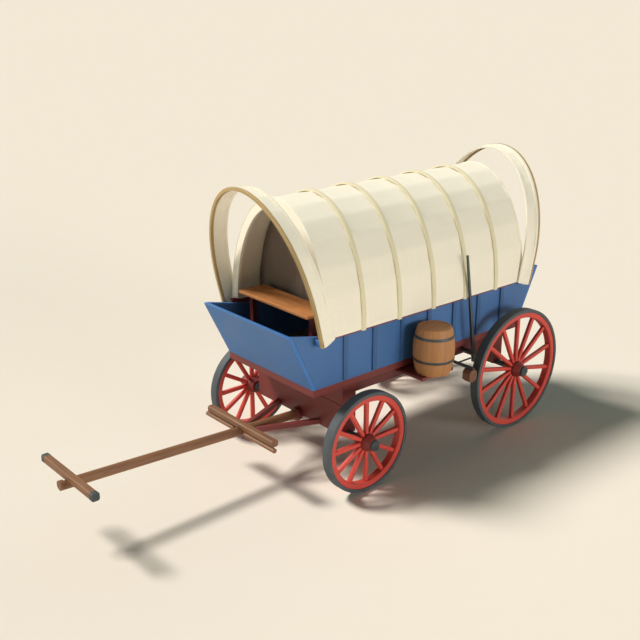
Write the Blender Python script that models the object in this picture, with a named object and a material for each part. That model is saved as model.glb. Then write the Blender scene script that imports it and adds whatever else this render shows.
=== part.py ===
"""A covered wagon of the old farm and prairie kind: a blue box body on a red running gear, four
spoked wheels, a canvas cover with a leaning bonnet at each end, a water barrel and a drawing tongue.

Metres, +Z up. Y runs from the tongue's tip (-Y) to the tail (+Y), and +X is the side with the barrel
and the brake lever. Every place below is measured from the point on the ground under the middle of
the front axle, where the empty "wagon_frame" stands. The world's origin is at the bottom centre of
the bounding box.
"""
import math

import bmesh
import bpy
from mathutils import Matrix, Vector

# Clearances
GAP = 0.0003  # between pieces that touch
RUNNING = 0.0008  # a bore's radius over its shaft's
BOSS_CLEAR = 0.0005  # under a boss that turns on a round pole
SWING = 0.005  # between pieces that move past each other
OVERRUN = 0.01  # how far a cutter passes the face it cuts
ROUND_SEGMENTS = 24  # facets of hubs and axles
SMALL_SEGMENTS = 16  # facets of pins and the tongue
SMOOTH_ANGLE = math.radians(40)

# Wheels. The rear pair is larger.
AXLE_SPACING = 2.17
WHEEL_OUT = 0.24  # from the body's side to the middle plane of a wheel
FRONT_RADIUS = 0.50
REAR_RADIUS = 0.657
FRONT_SPOKES = 12
REAR_SPOKES = 14
TYRE_DEPTH = 0.034
TYRE_WIDTH = 0.10
FELLOE_DEPTH = 0.055
FELLOE_WIDTH = 0.085
HUB_RADIUS = 0.085
HUB_NOSE_RADIUS = 0.058
HUB_HEEL_RADIUS = 0.066
HUB_WAIST = 0.045  # half length of the hub's thick middle
HUB_NOSE = 0.11  # from the wheel's middle plane outwards
HUB_HEEL = 0.10  # and inwards
SPOKE_SINK = 0.007  # how deep a spoke stands in the hub
SPOKE_HALF_DEPTH = 0.024  # along the axle
SPOKE_ROOT_FILL = 0.94  # share of the room round the hub that the spokes' roots take
SPOKE_TIP = 0.026  # half width at the rim
SPOKE_SIDES = 8
WHEEL_SEGMENTS = 48

# Axles and the boxes over them
AXLE_RADIUS = 0.030
SHOULDER_RADIUS = 0.042  # of the collar inside each hub
SHOULDER_LENGTH = 0.03
NUT_RADIUS = 0.053
NUT_LENGTH = 0.024
BOX_HALF_WIDTH = 0.65  # also the half width of the body
UPPER_BOX_HEIGHT = 0.188  # from the seam up to the bed
FRONT_BOX_HALF_DEPTH = 0.086
REAR_BOX_HALF_DEPTH = 0.064
BOX_DROP = 0.006  # from the axle's centre line down to the box's underside
KINGPIN_RADIUS = 0.02
KINGPIN_END = 0.12  # how far the kingpin reaches into the boxes above and below the seam
PLATE_RADIUS = 0.08

# Bed
BED_MIDDLE = 1.017  # along Y
BED_HALF_LENGTH = 1.46
BED_UNDERSIDE_Z = 0.988
BED_THICKNESS = 0.067
FLOOR_THICKNESS = 0.025
BEAM_INSET = 0.08  # from the body's side to the beam's middle
BEAM_WIDTH = 0.06
BEAM_HEIGHT = 0.113
REACH_WIDTH = 0.09
REACH_HEIGHT = 0.08
REACH_BELOW = 0.028  # from the bed's underside

# Box body
BOARD = 0.04
END_BOARD = 0.045  # along Y
END_RAKE = 0.285  # how far the end boards lean out over their height
SIDE_HEIGHT = 0.48
END_HEIGHT = 0.579
SWEEP_FRONT = 0.43  # from the front board's top back to where the side's top edge is level
SWEEP_REAR = 0.43
RIBS = 7
RIB_SPACING = 0.37
RIB_SHIFT = 0.034  # from the bed's middle
RIB_WIDTH = 0.05
RIB_DEPTH = 0.02
RIB_BELOW = 0.012  # how far the ribs reach past the side's lower edge
RAIL_OUT = 0.034
RAIL_ABOVE = 0.036  # over the side's top edge, which the rail follows
RAIL_BELOW = 0.018
RAIL_SHORT = 0.01  # from each end of the rail to the bow there
RIB_SHORT = 0.024  # from the ribs' tops up to the side's top edge

# Cover
COVER_SHIFT = 0.018  # from the bed's middle
COVER_INSET = 0.085  # how far each end stands back from the bed's end
COVER_OUT = 0.065  # past the body's side
COVER_WALL = 0.065  # upright stretch over the side's top
COVER_RISE = 1.12
CANVAS = 0.03
RIM_DEPTH = 0.09  # of the thick rolled edge at each end of the cover
RIM_WIDTH = 0.03
HOOPS = 5
HOOP_SHIFT = 0.029  # from the bed's middle
HOOP_SPACING = 0.466
HOOP_WIDTH = 0.055
HOOP_HEIGHT = 0.014
BOW_DEPTH = 0.022
ARCH_SEGMENTS = 20

# Bonnets, the leaning bands at both ends, and the bows that carry their outer edges. A bonnet's
# inner edge stands round the outside of the cover at the foot and widens towards its bow.
BONNET_LEAN = math.radians(13.5)
BONNET_BAND = 0.156  # canvas between the bow and the inner edge
BONNET_OVERLAP = 0.096  # of its inner edge over the cover's end, at the foot
BONNET_CLEAR = 0.023  # its inner edge outside the cover, at the foot
BONNET_FLARE = 0.03  # its outer edge further out than its inner edge, at the foot
BONNET_FLARE_TOP = 0.02  # and at the top
BONNET_SPRING = 0.17  # its upright stretch ends this far above the cover's
BONNET_ABOVE = 0.15  # its outer edge, above the cover's top
BONNET_BELOW = 0.035  # below the side's top
BONNET_CANVAS = 0.016
END_BOW_WIDTH = 0.028
END_BOW_DEPTH = 0.034
FOOT_BLOCK = 0.06

# Curtain and seat
CURTAIN_BEHIND = 0.413  # behind the bed's front end
CURTAIN_THICKNESS = 0.018
SEAT_BEHIND = 0.192  # its middle, behind the bed's front end
SEAT_DEPTH = 0.305
SEAT_INSET = 0.125  # from the body's side
SEAT_ABOVE = 0.193  # its top, above the side's top
SEAT_THICKNESS = 0.03
POST_BEHIND = 0.163
POST_INSET = 0.075  # from the seat's end
POST_SIZE = 0.05

# Barrel on its shelf
SHELF_OUT = 0.305  # past the body's side
SHELF_HALF_LENGTH = 0.22
SHELF_BELOW = 0.018  # its top, below the bed's underside
SHELF_THICKNESS = 0.03
BARREL_Y = 0.89
BARREL_HEIGHT = 0.468
BARREL_RADIUS = 0.2045
BARREL_END_RADIUS = 0.168
BARREL_HEAD = 0.005  # how far the head lies below the staves' ends
BARREL_STAVE = 0.02
BARREL_SEGMENTS = 28
BARREL_HOOP_WIDTH = 0.026
BARREL_HOOP_DEPTH = 0.006
BARREL_HOOP_UPPER = 0.64  # height of a hoop from the middle, as a share of half the barrel
BARREL_HOOP_LOWER = -0.36

# Tongue and what hangs on it
TONGUE_RADIUS = 0.045
TONGUE_LENGTH = 2.574
TONGUE_RISE = 0.118  # from the axle's height to the tip
TONGUE_FLAT = 0.028  # how deep its top is cut flat under the doubletree and the neck yoke
SOCKET_RADIUS = 0.068
SOCKET_LENGTH = 0.05
HOUND_ROOT_X = 0.31
HOUND_WIDTH = 0.05
HOUND_HEIGHT = 0.05
HOUND_ABOVE = 0.027  # its middle, above the axle's
HOUND_LENGTH = 0.58
TREE_AHEAD = 0.699  # middle of the doubletree, ahead of the axle box
TREE_HALF_LENGTH = 0.515
TREE_DEPTH = 0.072
TREE_HEIGHT = 0.064
TREE_TURN = math.radians(12)  # how far it swings each way
SINGLETREE_X = 0.315
SINGLETREE_HALF_LENGTH = 0.224
SINGLETREE_DEPTH = 0.045
SINGLETREE_HEIGHT = 0.042
SINGLETREE_AHEAD = 0.022  # from the doubletree's middle
BOSS_RADIUS = 0.022
PIN_RADIUS = 0.011
YOKE_BEHIND = 0.10  # behind the tongue's tip
YOKE_HALF_LENGTH = 0.453
YOKE_DEPTH = 0.072
YOKE_HEIGHT = 0.072
YOKE_TURN = math.radians(20)
CHAMFER = 0.012

# Brake
LEVER_CLEAR = 0.01  # from the cover's hoops
LEVER_SIZE = 0.034
LEVER_TIP = 0.018  # its size at the top
LEVER_LEAN = 0.167  # how far forward of its pivot the top stands
LEVER_HEIGHT = 1.077
PIVOT_AHEAD = 0.535  # ahead of the rear axle
PIVOT_BELOW = 0.058  # below the bed's underside
PIVOT_RADIUS = 0.011
KNUCKLE_RADIUS = 0.022
LEVER_BELOW = 0.10
BLOCK_LENGTH = 0.11
BLOCK_HEIGHT = 0.13
BLOCK_CHAMFER = 0.028
BRAKE_CLEAR = 0.018  # from block to tyre at rest
BRAKE_BAR = 0.026
LINK_SIZE = 0.014
BRAKE_TRAVEL = 0.013
GUIDE_THICKNESS = 0.008
GUIDE_LENGTH = 0.04

# Places worked out from the sizes above
REAR_Y = AXLE_SPACING
WHEEL_X = BOX_HALF_WIDTH + WHEEL_OUT
BEAM_X = BOX_HALF_WIDTH - BEAM_INSET
FRONT_Y = BED_MIDDLE - BED_HALF_LENGTH
TAIL_Y = BED_MIDDLE + BED_HALF_LENGTH
SEAM_Z = BED_UNDERSIDE_Z - UPPER_BOX_HEIGHT
BED_TOP_Z = BED_UNDERSIDE_Z + BED_THICKNESS
SIDE_TOP_Z = BED_TOP_Z + SIDE_HEIGHT
END_TOP_Z = BED_TOP_Z + END_HEIGHT
REACH_TOP_Z = BED_UNDERSIDE_Z - REACH_BELOW
RIB_MIDDLE = BED_MIDDLE + RIB_SHIFT
COVER_MIDDLE = BED_MIDDLE + COVER_SHIFT
COVER_HALF_LENGTH = BED_HALF_LENGTH - COVER_INSET
COVER_HALF_WIDTH = BOX_HALF_WIDTH + COVER_OUT
COVER_SPRING_Z = SIDE_TOP_Z + COVER_WALL
COVER_TOP_Z = COVER_SPRING_Z + COVER_RISE
RAIL_TOP_Z = SIDE_TOP_Z + RAIL_ABOVE
BONNET_TOP_Z = COVER_TOP_Z + BONNET_ABOVE
BONNET_FOOT_Z = SIDE_TOP_Z - BONNET_BELOW
BONNET_SPRING_Z = COVER_SPRING_Z + BONNET_SPRING
BONNET_HALF_WIDTH = COVER_HALF_WIDTH + BONNET_CLEAR + BONNET_FLARE
CURTAIN_Y = FRONT_Y + CURTAIN_BEHIND
SEAT_Y = FRONT_Y + SEAT_BEHIND
SEAT_HALF_LENGTH = BOX_HALF_WIDTH - SEAT_INSET
SEAT_TOP_Z = SIDE_TOP_Z + SEAT_ABOVE
POST_X = SEAT_HALF_LENGTH - POST_INSET
POST_Y = FRONT_Y + POST_BEHIND
SHELF_TOP_Z = BED_UNDERSIDE_Z - SHELF_BELOW
TONGUE_ROOT_Z = FRONT_RADIUS
TONGUE_TIP_Z = TONGUE_ROOT_Z + TONGUE_RISE
TONGUE_TIP_Y = -FRONT_BOX_HALF_DEPTH - TONGUE_LENGTH
HOUND_Z = FRONT_RADIUS + HOUND_ABOVE
TREE_Y = -FRONT_BOX_HALF_DEPTH - TREE_AHEAD
YOKE_Y = TONGUE_TIP_Y + YOKE_BEHIND
PIVOT_Y = REAR_Y - PIVOT_AHEAD
PIVOT_Z = BED_UNDERSIDE_Z - PIVOT_BELOW
FLOOR_Z = BED_TOP_Z + GAP + FLOOR_THICKNESS
AXLE_END = WHEEL_X + HUB_NOSE + RUNNING + NUT_LENGTH
BEAM_LOW_Z = BED_UNDERSIDE_Z - GAP - BEAM_HEIGHT
BRAKE_BAR_Z = BEAM_LOW_Z - SWING - BRAKE_BAR / 2
LEVER_X = COVER_HALF_WIDTH + HOOP_HEIGHT + LEVER_CLEAR + LEVER_SIZE / 2
BARREL_GIRTH = BARREL_RADIUS + BARREL_HOOP_DEPTH
BARREL_X = BOX_HALF_WIDTH + RIB_DEPTH + SWING + BARREL_GIRTH
BOW_FOOT_FRONT = COVER_MIDDLE - COVER_HALF_LENGTH + BONNET_OVERLAP - BONNET_BAND
BOW_FOOT_REAR = COVER_MIDDLE + COVER_HALF_LENGTH - BONNET_OVERLAP + BONNET_BAND
LEAN_OUT = math.tan(BONNET_LEAN) * (BONNET_TOP_Z - BONNET_FOOT_Z)
REAR_END = max(TAIL_Y + END_RAKE, REAR_Y + REAR_RADIUS, BOW_FOOT_REAR + LEAN_OUT + GAP + END_BOW_WIDTH)
HOOP_SHARE = abs(BARREL_HOOP_LOWER) - BARREL_HOOP_WIDTH / BARREL_HEIGHT  # its edge nearest the middle
HOOP_TAPER = (BARREL_RADIUS - BARREL_END_RADIUS) * HOOP_SHARE * HOOP_SHARE
HOOP_REACH = BARREL_RADIUS - HOOP_TAPER + GAP + BARREL_HOOP_DEPTH
BARREL_SIDE = BARREL_X + HOOP_REACH * math.cos(math.pi / BARREL_SEGMENTS)
FRAME_PLACE = Vector(
    ((AXLE_END - max(AXLE_END, BARREL_SIDE)) / 2, -(TONGUE_TIP_Y + REAR_END) / 2, 0)
)

PAINTS = {  # name: (red, green, blue, roughness, metallic)
    "blue": (0.07, 0.16, 0.31, 0.5, 0),
    "barn_red": (0.14, 0.03, 0.025, 0.55, 0),
    "wheel_red": (0.50, 0.06, 0.04, 0.5, 0),
    "iron": (0.05, 0.05, 0.06, 0.5, 0.8),
    "tyre": (0.06, 0.07, 0.08, 0.55, 0.6),
    "canvas": (0.80, 0.72, 0.52, 0.9, 0),
    "bow_wood": (0.40, 0.26, 0.09, 0.6, 0),
    "seat_wood": (0.45, 0.20, 0.07, 0.55, 0),
    "barrel_wood": (0.33, 0.15, 0.05, 0.55, 0),
    "pole_wood": (0.20, 0.09, 0.04, 0.6, 0),
    "dark_wood": (0.05, 0.03, 0.02, 0.8, 0),
    "dark_cloth": (0.05, 0.04, 0.035, 0.9, 0),
}


def clear_scene():
    for obj in list(bpy.data.objects):
        bpy.data.objects.remove(obj, do_unlink=True)


def material(name):
    if name in bpy.data.materials:
        return bpy.data.materials[name]
    red, green, blue, roughness, metallic = PAINTS[name]
    made = bpy.data.materials.new(name)
    made.use_nodes = True
    shader = made.node_tree.nodes["Principled BSDF"]
    shader.inputs["Base Color"].default_value = (red, green, blue, 1)
    shader.inputs["Roughness"].default_value = roughness
    shader.inputs["Metallic"].default_value = metallic
    return made


def empty(name, place, parent=None):
    obj = bpy.data.objects.new(name, None)
    bpy.context.scene.collection.objects.link(obj)
    obj.location = place
    obj.parent = parent
    return obj


def from_bmesh(name, shape, paint, parent, smooth=False):
    """One object from a bmesh whose points are given in the parent's frame."""
    bmesh.ops.recalc_face_normals(shape, faces=shape.faces)
    mesh = bpy.data.meshes.new(name)
    shape.to_mesh(mesh)
    shape.free()
    if smooth:
        mesh.shade_smooth()
        mesh.set_sharp_from_angle(angle=SMOOTH_ANGLE)
    obj = bpy.data.objects.new(name, mesh)
    bpy.context.scene.collection.objects.link(obj)
    obj.parent = parent
    mesh.materials.append(material(paint))
    return obj


def add_loft(shape, rings):
    """Skin between rings of equal length, with a cap on the first and the last."""
    rows = [[shape.verts.new(point) for point in ring] for ring in rings]
    for one, other in zip(rows, rows[1:]):
        for i in range(len(one)):
            j = (i + 1) % len(one)
            shape.faces.new((one[i], one[j], other[j], other[i]))
    shape.faces.new(rows[0])
    shape.faces.new(reversed(rows[-1]))


def add_box(shape, low, high):
    (x0, y0, z0), (x1, y1, z1) = low, high
    add_loft(shape, [[(x0, y0, z), (x1, y0, z), (x1, y1, z), (x0, y1, z)] for z in (z0, z1)])


def box(name, low, high, paint, parent):
    shape = bmesh.new()
    add_box(shape, low, high)
    return from_bmesh(name, shape, paint, parent)


def add_prism_x(shape, outline, x0, x1):
    """An outline of (y, z) points, run from x0 to x1."""
    add_loft(shape, [[(x, y, z) for y, z in outline] for x in (x0, x1)])


def add_turned(shape, profile, centre, axis, segments, closed=False):
    """A profile of (along, radius) points turned about an axis, X, Y or Z, through the centre.

    A closed profile makes a ring with a hole; an open one gets a flat cap at each end."""
    frame = {"X": Matrix.Rotation(math.radians(90), 3, "Y"),
             "Y": Matrix.Rotation(math.radians(-90), 3, "X"),
             "Z": Matrix.Identity(3)}[axis]
    rings = []
    for along, radius in profile:
        ring = []
        for i in range(segments):
            turn = math.tau * (i + 0.5) / segments
            point = Vector((radius * math.cos(turn), radius * math.sin(turn), along))
            ring.append(Vector(centre) + frame @ point)
        rings.append(ring)
    if not closed:
        add_loft(shape, rings)
        return
    rows = [[shape.verts.new(point) for point in ring] for ring in rings]
    for one, other in zip(rows, rows[1:] + rows[:1]):
        for i in range(segments):
            j = (i + 1) % segments
            shape.faces.new((one[i], one[j], other[j], other[i]))


def helper(name, shape, parent):
    """A hidden object that a Boolean adds or takes away."""
    obj = from_bmesh(name, shape, "iron", parent)
    obj.hide_render = True
    obj.display_type = "WIRE"
    return obj


def combine(obj, shape, operation):
    tool = helper(f"{obj.name}_{operation.lower()}", shape, obj.parent)
    modifier = obj.modifiers.new(operation.title(), "BOOLEAN")
    modifier.operation = operation
    modifier.solver = "EXACT"
    modifier.object = tool
    return obj


def chamfered(half_depth, half_height, cut=CHAMFER):
    """The outline of a bar with its four long edges cut off."""
    across, tall = half_depth - cut, half_height - cut
    return [(across, -half_height), (half_depth, -tall), (half_depth, tall), (across, half_height),
            (-across, half_height), (-half_depth, tall), (-half_depth, -tall), (-across, -half_height)]


def arch(half_width, foot_z, spring_z, top_z):
    """Points of (x, z, normal x, normal z) from the near foot over the top to the far foot."""
    points = [(half_width, foot_z, 1.0, 0.0)]
    rise = top_z - spring_z
    for i in range(ARCH_SEGMENTS + 1):
        turn = math.pi * i / ARCH_SEGMENTS
        x, z = half_width * math.cos(turn), rise * math.sin(turn)
        normal = Vector((rise * math.cos(turn), half_width * math.sin(turn))).normalized()
        points.append((x, spring_z + z, normal.x, normal.y))
    points.append((-half_width, foot_z, -1.0, 0.0))
    return points


def add_arch(shape, path, profile, foot_z, lean=0.0):
    """A profile of (y, outwards) points swept along an arch. lean is how far Y moves per metre up."""
    add_loft(shape, [
        [(x + normal_x * out, y + lean * (z - foot_z), z + normal_z * out) for y, out in profile]
        for x, z, normal_x, normal_z in path
    ])


def add_flared_arch(shape, edge, inside, profile, foot_z, lean):
    """As add_arch between two arches: a profile of (share, y, outwards), share 0 on the edge's arch."""
    rings = []
    for (x0, z0, normal_x, normal_z), (x1, z1, _, _) in zip(edge, inside):
        ring = []
        for share, y, out in profile:
            x, z = x0 + (x1 - x0) * share, z0 + (z1 - z0) * share
            ring.append((x + normal_x * out, y + lean * (z - foot_z), z + normal_z * out))
        rings.append(ring)
    add_loft(shape, rings)


def build_wheel(name, parent, side, radius, spokes):
    """Wooden wheel with its hub, and the tyre round it. The parent is an empty on the axle."""
    rim = radius - TYRE_DEPTH - GAP
    half = FELLOE_WIDTH / 2
    shape = bmesh.new()
    add_turned(shape, [(-half, rim), (half, rim), (half, rim - FELLOE_DEPTH), (-half, rim - FELLOE_DEPTH)],
               (0, 0, 0), "X", WHEEL_SEGMENTS, closed=True)
    wheel = from_bmesh(f"wheel_{name}", shape, "wheel_red", parent, smooth=True)
    bars = bmesh.new()
    sunk = HUB_RADIUS - SPOKE_SINK
    root = SPOKE_ROOT_FILL * math.pi * sunk / spokes
    for i in range(spokes):
        turn = Matrix.Rotation(math.tau * i / spokes, 3, "X")
        rings = []
        for away, size in ((sunk, root), (rim - FELLOE_DEPTH / 2, SPOKE_TIP)):
            rings.append([
                turn @ Vector((SPOKE_HALF_DEPTH * math.cos(a), size * math.sin(a), away))
                for a in (math.tau * (k + 0.5) / SPOKE_SIDES for k in range(SPOKE_SIDES))
            ])
        add_loft(bars, rings)
    hub = bmesh.new()
    bore = AXLE_RADIUS + RUNNING
    profile = [(-HUB_HEEL, HUB_HEEL_RADIUS), (-HUB_WAIST, HUB_RADIUS), (HUB_WAIST, HUB_RADIUS),
               (HUB_NOSE, HUB_NOSE_RADIUS)]
    add_turned(hub, [(side * along, out) for along, out in profile], (0, 0, 0), "X",
               ROUND_SEGMENTS)
    combine(wheel, bars, "UNION")
    combine(wheel, hub, "UNION")
    bore_cut = bmesh.new()
    reach = HUB_NOSE + OVERRUN
    add_turned(bore_cut, [(-reach, bore), (reach, bore)], (0, 0, 0), "X", ROUND_SEGMENTS)
    combine(wheel, bore_cut, "DIFFERENCE")
    tyre = bmesh.new()
    wide = TYRE_WIDTH / 2
    tread = radius / math.cos(math.pi / WHEEL_SEGMENTS)  # so that the lowest facet lies on the ground
    add_turned(tyre, [(-wide, tread), (wide, tread), (wide, rim + GAP), (-wide, rim + GAP)],
               (0, 0, 0), "X", WHEEL_SEGMENTS, closed=True)
    from_bmesh(f"tyre_{name}", tyre, "tyre", parent, smooth=True)


def build_axle(name, parent, y, z):
    """Iron axle from nut to nut, with a shoulder inside each hub."""
    hub_inside = WHEEL_X - HUB_HEEL - RUNNING
    collar = hub_inside - SHOULDER_LENGTH
    hub_outside = AXLE_END - NUT_LENGTH
    half = [(collar, AXLE_RADIUS), (collar, SHOULDER_RADIUS), (hub_inside, SHOULDER_RADIUS),
            (hub_inside, AXLE_RADIUS), (hub_outside, AXLE_RADIUS), (hub_outside, NUT_RADIUS),
            (AXLE_END, NUT_RADIUS)]
    profile = [(-along, out) for along, out in reversed(half)] + half
    shape = bmesh.new()
    add_turned(shape, profile, (0, y, z), "X", ROUND_SEGMENTS)
    return from_bmesh(name, shape, "iron", parent, smooth=True)


def axle_groove(y, z):
    shape = bmesh.new()
    radius = AXLE_RADIUS + GAP
    reach = BOX_HALF_WIDTH + OVERRUN
    add_turned(shape, [(-reach, radius), (reach, radius)], (0, y, z), "X", ROUND_SEGMENTS)
    return shape


def kingpin_bore(low, high):
    shape = bmesh.new()
    radius = KINGPIN_RADIUS + RUNNING
    add_turned(shape, [(low, radius), (high, radius)], (0, 0, 0), "Z", ROUND_SEGMENTS)
    return shape


def build_bed(root):
    """Red bed frame, floor boards, side beams, bolsters and reach."""
    wide = BOX_HALF_WIDTH - GAP
    box("bed_frame", (-wide, FRONT_Y, BED_UNDERSIDE_Z), (wide, TAIL_Y, BED_TOP_Z - GAP), "barn_red", root)
    floor_x = BOX_HALF_WIDTH - BOARD - GAP
    low_y = FRONT_Y + END_BOARD + GAP
    high_y = TAIL_Y - END_BOARD - GAP
    box("floor_boards", (-floor_x, low_y, BED_TOP_Z), (floor_x, high_y, FLOOR_Z - GAP), "dark_wood", root)
    under = BED_UNDERSIDE_Z - GAP
    seam = SEAM_Z + SWING
    upper = box("front_bolster", (-wide, -FRONT_BOX_HALF_DEPTH, seam), (wide, FRONT_BOX_HALF_DEPTH, under),
                "barn_red", root)
    combine(upper, kingpin_bore(seam - OVERRUN, SEAM_Z + KINGPIN_END + OVERRUN), "DIFFERENCE")
    rear_low = REAR_RADIUS - BOX_DROP
    rear = box("rear_bolster", (-wide, REAR_Y - REAR_BOX_HALF_DEPTH, rear_low),
               (wide, REAR_Y + REAR_BOX_HALF_DEPTH, under), "barn_red", root)
    combine(rear, axle_groove(REAR_Y, REAR_RADIUS), "DIFFERENCE")
    front_end = FRONT_BOX_HALF_DEPTH + GAP
    rear_end = REAR_Y - REAR_BOX_HALF_DEPTH - GAP
    for name, side in (("near", 1), ("far", -1)):
        edges = sorted((side * (BEAM_X - BEAM_WIDTH / 2), side * (BEAM_X + BEAM_WIDTH / 2)))
        box(f"side_beam_{name}", (edges[0], front_end, under - BEAM_HEIGHT), (edges[1], rear_end, under),
            "barn_red", root)
    box("reach_pole", (-REACH_WIDTH / 2, front_end, REACH_TOP_Z - REACH_HEIGHT),
        (REACH_WIDTH / 2, rear_end, REACH_TOP_Z), "barn_red", root)
    build_axle("rear_axle", root, REAR_Y, REAR_RADIUS)


def build_box_body(root):
    """Two sides with their ribs, two raked end boards and the rails along the sides' tops."""
    for name, foot, way in (("front_board", FRONT_Y, -1), ("rear_board", TAIL_Y, 1)):
        top = foot + way * END_RAKE
        shape = bmesh.new()
        add_prism_x(shape, [(foot, BED_TOP_Z), (top, END_TOP_Z), (top - way * END_BOARD, END_TOP_Z),
                            (foot - way * END_BOARD, BED_TOP_Z)], -BOX_HALF_WIDTH, BOX_HALF_WIDTH)
        from_bmesh(name, shape, "blue", root)
    inset = END_BOARD + GAP
    front_top = FRONT_Y - END_RAKE + inset
    tail_top = TAIL_Y + END_RAKE - inset
    outline = [(FRONT_Y + inset, BED_TOP_Z), (TAIL_Y - inset, BED_TOP_Z), (tail_top, END_TOP_Z),
               (tail_top - SWEEP_REAR, SIDE_TOP_Z), (front_top + SWEEP_FRONT, SIDE_TOP_Z),
               (front_top, END_TOP_Z)]
    for name, side in (("near", 1), ("far", -1)):
        shape = bmesh.new()
        inner, outer = sorted((side * (BOX_HALF_WIDTH - BOARD), side * BOX_HALF_WIDTH))
        add_prism_x(shape, outline, inner, outer)
        panel = from_bmesh(f"side_{name}", shape, "blue", root)
        ribs = bmesh.new()
        for i in range(RIBS):
            middle = RIB_MIDDLE + (i - (RIBS - 1) / 2) * RIB_SPACING
            edges = sorted((side * (BOX_HALF_WIDTH - BOARD / 2), side * (BOX_HALF_WIDTH + RIB_DEPTH)))
            add_box(ribs, (edges[0], middle - RIB_WIDTH / 2, BED_TOP_Z + RIB_BELOW),
                    (edges[1], middle + RIB_WIDTH / 2, SIDE_TOP_Z - RIB_SHORT))
        combine(panel, ribs, "UNION")
        rail_edges = sorted((side * (BOX_HALF_WIDTH + GAP), side * (BOX_HALF_WIDTH + RAIL_OUT)))
        shape = bmesh.new()
        along = [BOW_FOOT_FRONT + RAIL_SHORT, front_top + SWEEP_FRONT, tail_top - SWEEP_REAR,
                 BOW_FOOT_REAR - RAIL_SHORT]
        steep = (END_TOP_Z - SIDE_TOP_Z) / SWEEP_FRONT, (END_TOP_Z - SIDE_TOP_Z) / SWEEP_REAR
        tops = [SIDE_TOP_Z + steep[0] * (along[1] - along[0]), SIDE_TOP_Z, SIDE_TOP_Z,
                SIDE_TOP_Z + steep[1] * (along[3] - along[2])]
        edge = [(y, z - RAIL_BELOW) for y, z in zip(along, tops)]
        edge += [(y, z + RAIL_ABOVE) for y, z in reversed(list(zip(along, tops)))]
        add_prism_x(shape, edge, *rail_edges)
        from_bmesh(f"rail_{name}", shape, "barn_red", root)


def hoop_places():
    middle = BED_MIDDLE + HOOP_SHIFT
    return [middle + (i - (HOOPS - 1) / 2) * HOOP_SPACING for i in range(HOOPS)]


def build_cover(root):
    """Canvas tunnel with its raised hoops and rolled ends, the bows under it, and the curtain."""
    foot = SIDE_TOP_Z + GAP
    path = arch(COVER_HALF_WIDTH, foot, COVER_SPRING_Z, COVER_TOP_Z)
    front, rear = COVER_MIDDLE - COVER_HALF_LENGTH, COVER_MIDDLE + COVER_HALF_LENGTH
    profile = [(rear, 0), (rear, -CANVAS), (front, -CANVAS), (front, 0)]
    for middle in hoop_places():
        low, high = middle - HOOP_WIDTH / 2, middle + HOOP_WIDTH / 2
        profile += [(low, 0), (low, HOOP_HEIGHT), (high, HOOP_HEIGHT), (high, 0)]
    shape = bmesh.new()
    add_arch(shape, path, profile, foot)
    cover = from_bmesh("cover", shape, "canvas", root)
    rims = bmesh.new()
    for low, high in ((front, front + RIM_WIDTH), (rear - RIM_WIDTH, rear)):
        add_arch(rims, path[1:-1], [(low, -CANVAS / 2), (high, -CANVAS / 2), (high, -RIM_DEPTH),
                                    (low, -RIM_DEPTH)], foot)
    combine(cover, rims, "UNION")
    inside = -CANVAS - GAP
    bow_path = arch(COVER_HALF_WIDTH, RAIL_TOP_Z + GAP, COVER_SPRING_Z, COVER_TOP_Z)
    for number, middle in enumerate(hoop_places(), 1):
        low, high = middle - HOOP_WIDTH / 2, middle + HOOP_WIDTH / 2
        shape = bmesh.new()
        add_arch(shape, bow_path, [(low, inside), (high, inside), (high, inside - BOW_DEPTH),
                                   (low, inside - BOW_DEPTH)], foot)
        from_bmesh(f"bow_{number}", shape, "bow_wood", root)
    outline = [(x + normal_x * inside, z + normal_z * inside) for x, z, normal_x, normal_z in bow_path]
    shape = bmesh.new()
    add_loft(shape, [[(x, y, z) for x, z in outline]
                     for y in (CURTAIN_Y, CURTAIN_Y + CURTAIN_THICKNESS)])
    from_bmesh("curtain", shape, "dark_cloth", root)


def build_bonnets(root):
    """The leaning canvas bands and the bows along their outer edges."""
    edge = arch(BONNET_HALF_WIDTH, BONNET_FOOT_Z, BONNET_SPRING_Z, BONNET_TOP_Z)
    inside = arch(BONNET_HALF_WIDTH - BONNET_FLARE, BONNET_FOOT_Z, BONNET_SPRING_Z,
                  BONNET_TOP_Z - BONNET_FLARE_TOP)
    share = END_BOW_WIDTH / (END_BOW_WIDTH + BONNET_BAND)  # where bow and canvas meet
    for name, foot_y, way in (("front", BOW_FOOT_FRONT, -1), ("rear", BOW_FOOT_REAR, 1)):
        lean = way * math.tan(BONNET_LEAN)
        inner = foot_y - way * BONNET_BAND
        shape = bmesh.new()
        add_flared_arch(shape, edge, inside, [(share, foot_y, 0), (1, inner, 0), (1, inner, -BONNET_CANVAS),
                                              (share, foot_y, -BONNET_CANVAS)], BONNET_FOOT_Z, lean)
        from_bmesh(f"{name}_bonnet", shape, "canvas", root)
        seat = foot_y + way * GAP
        outer = foot_y + way * (GAP + END_BOW_WIDTH)
        shape = bmesh.new()
        add_flared_arch(shape, edge, inside, [(share, seat, 0), (0, outer, 0), (0, outer, -END_BOW_DEPTH),
                                              (share, seat, -END_BOW_DEPTH)], BONNET_FOOT_Z, lean)
        bow = from_bmesh(f"{name}_bow", shape, "bow_wood", root)
        feet = bmesh.new()
        for side in (1, -1):
            edges = sorted((side * (BOX_HALF_WIDTH + GAP), side * (BONNET_HALF_WIDTH - END_BOW_DEPTH / 2)))
            lows = sorted((seat, outer))
            corners = [(edges[0], lows[0]), (edges[1], lows[0]), (edges[1], lows[1]), (edges[0], lows[1])]
            add_loft(feet, [
                [(x, y + lean * (z - BONNET_FOOT_Z), z) for x, y in corners]
                for z in (BONNET_FOOT_Z, BONNET_FOOT_Z + FOOT_BLOCK)
            ])
        combine(bow, feet, "UNION")


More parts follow.
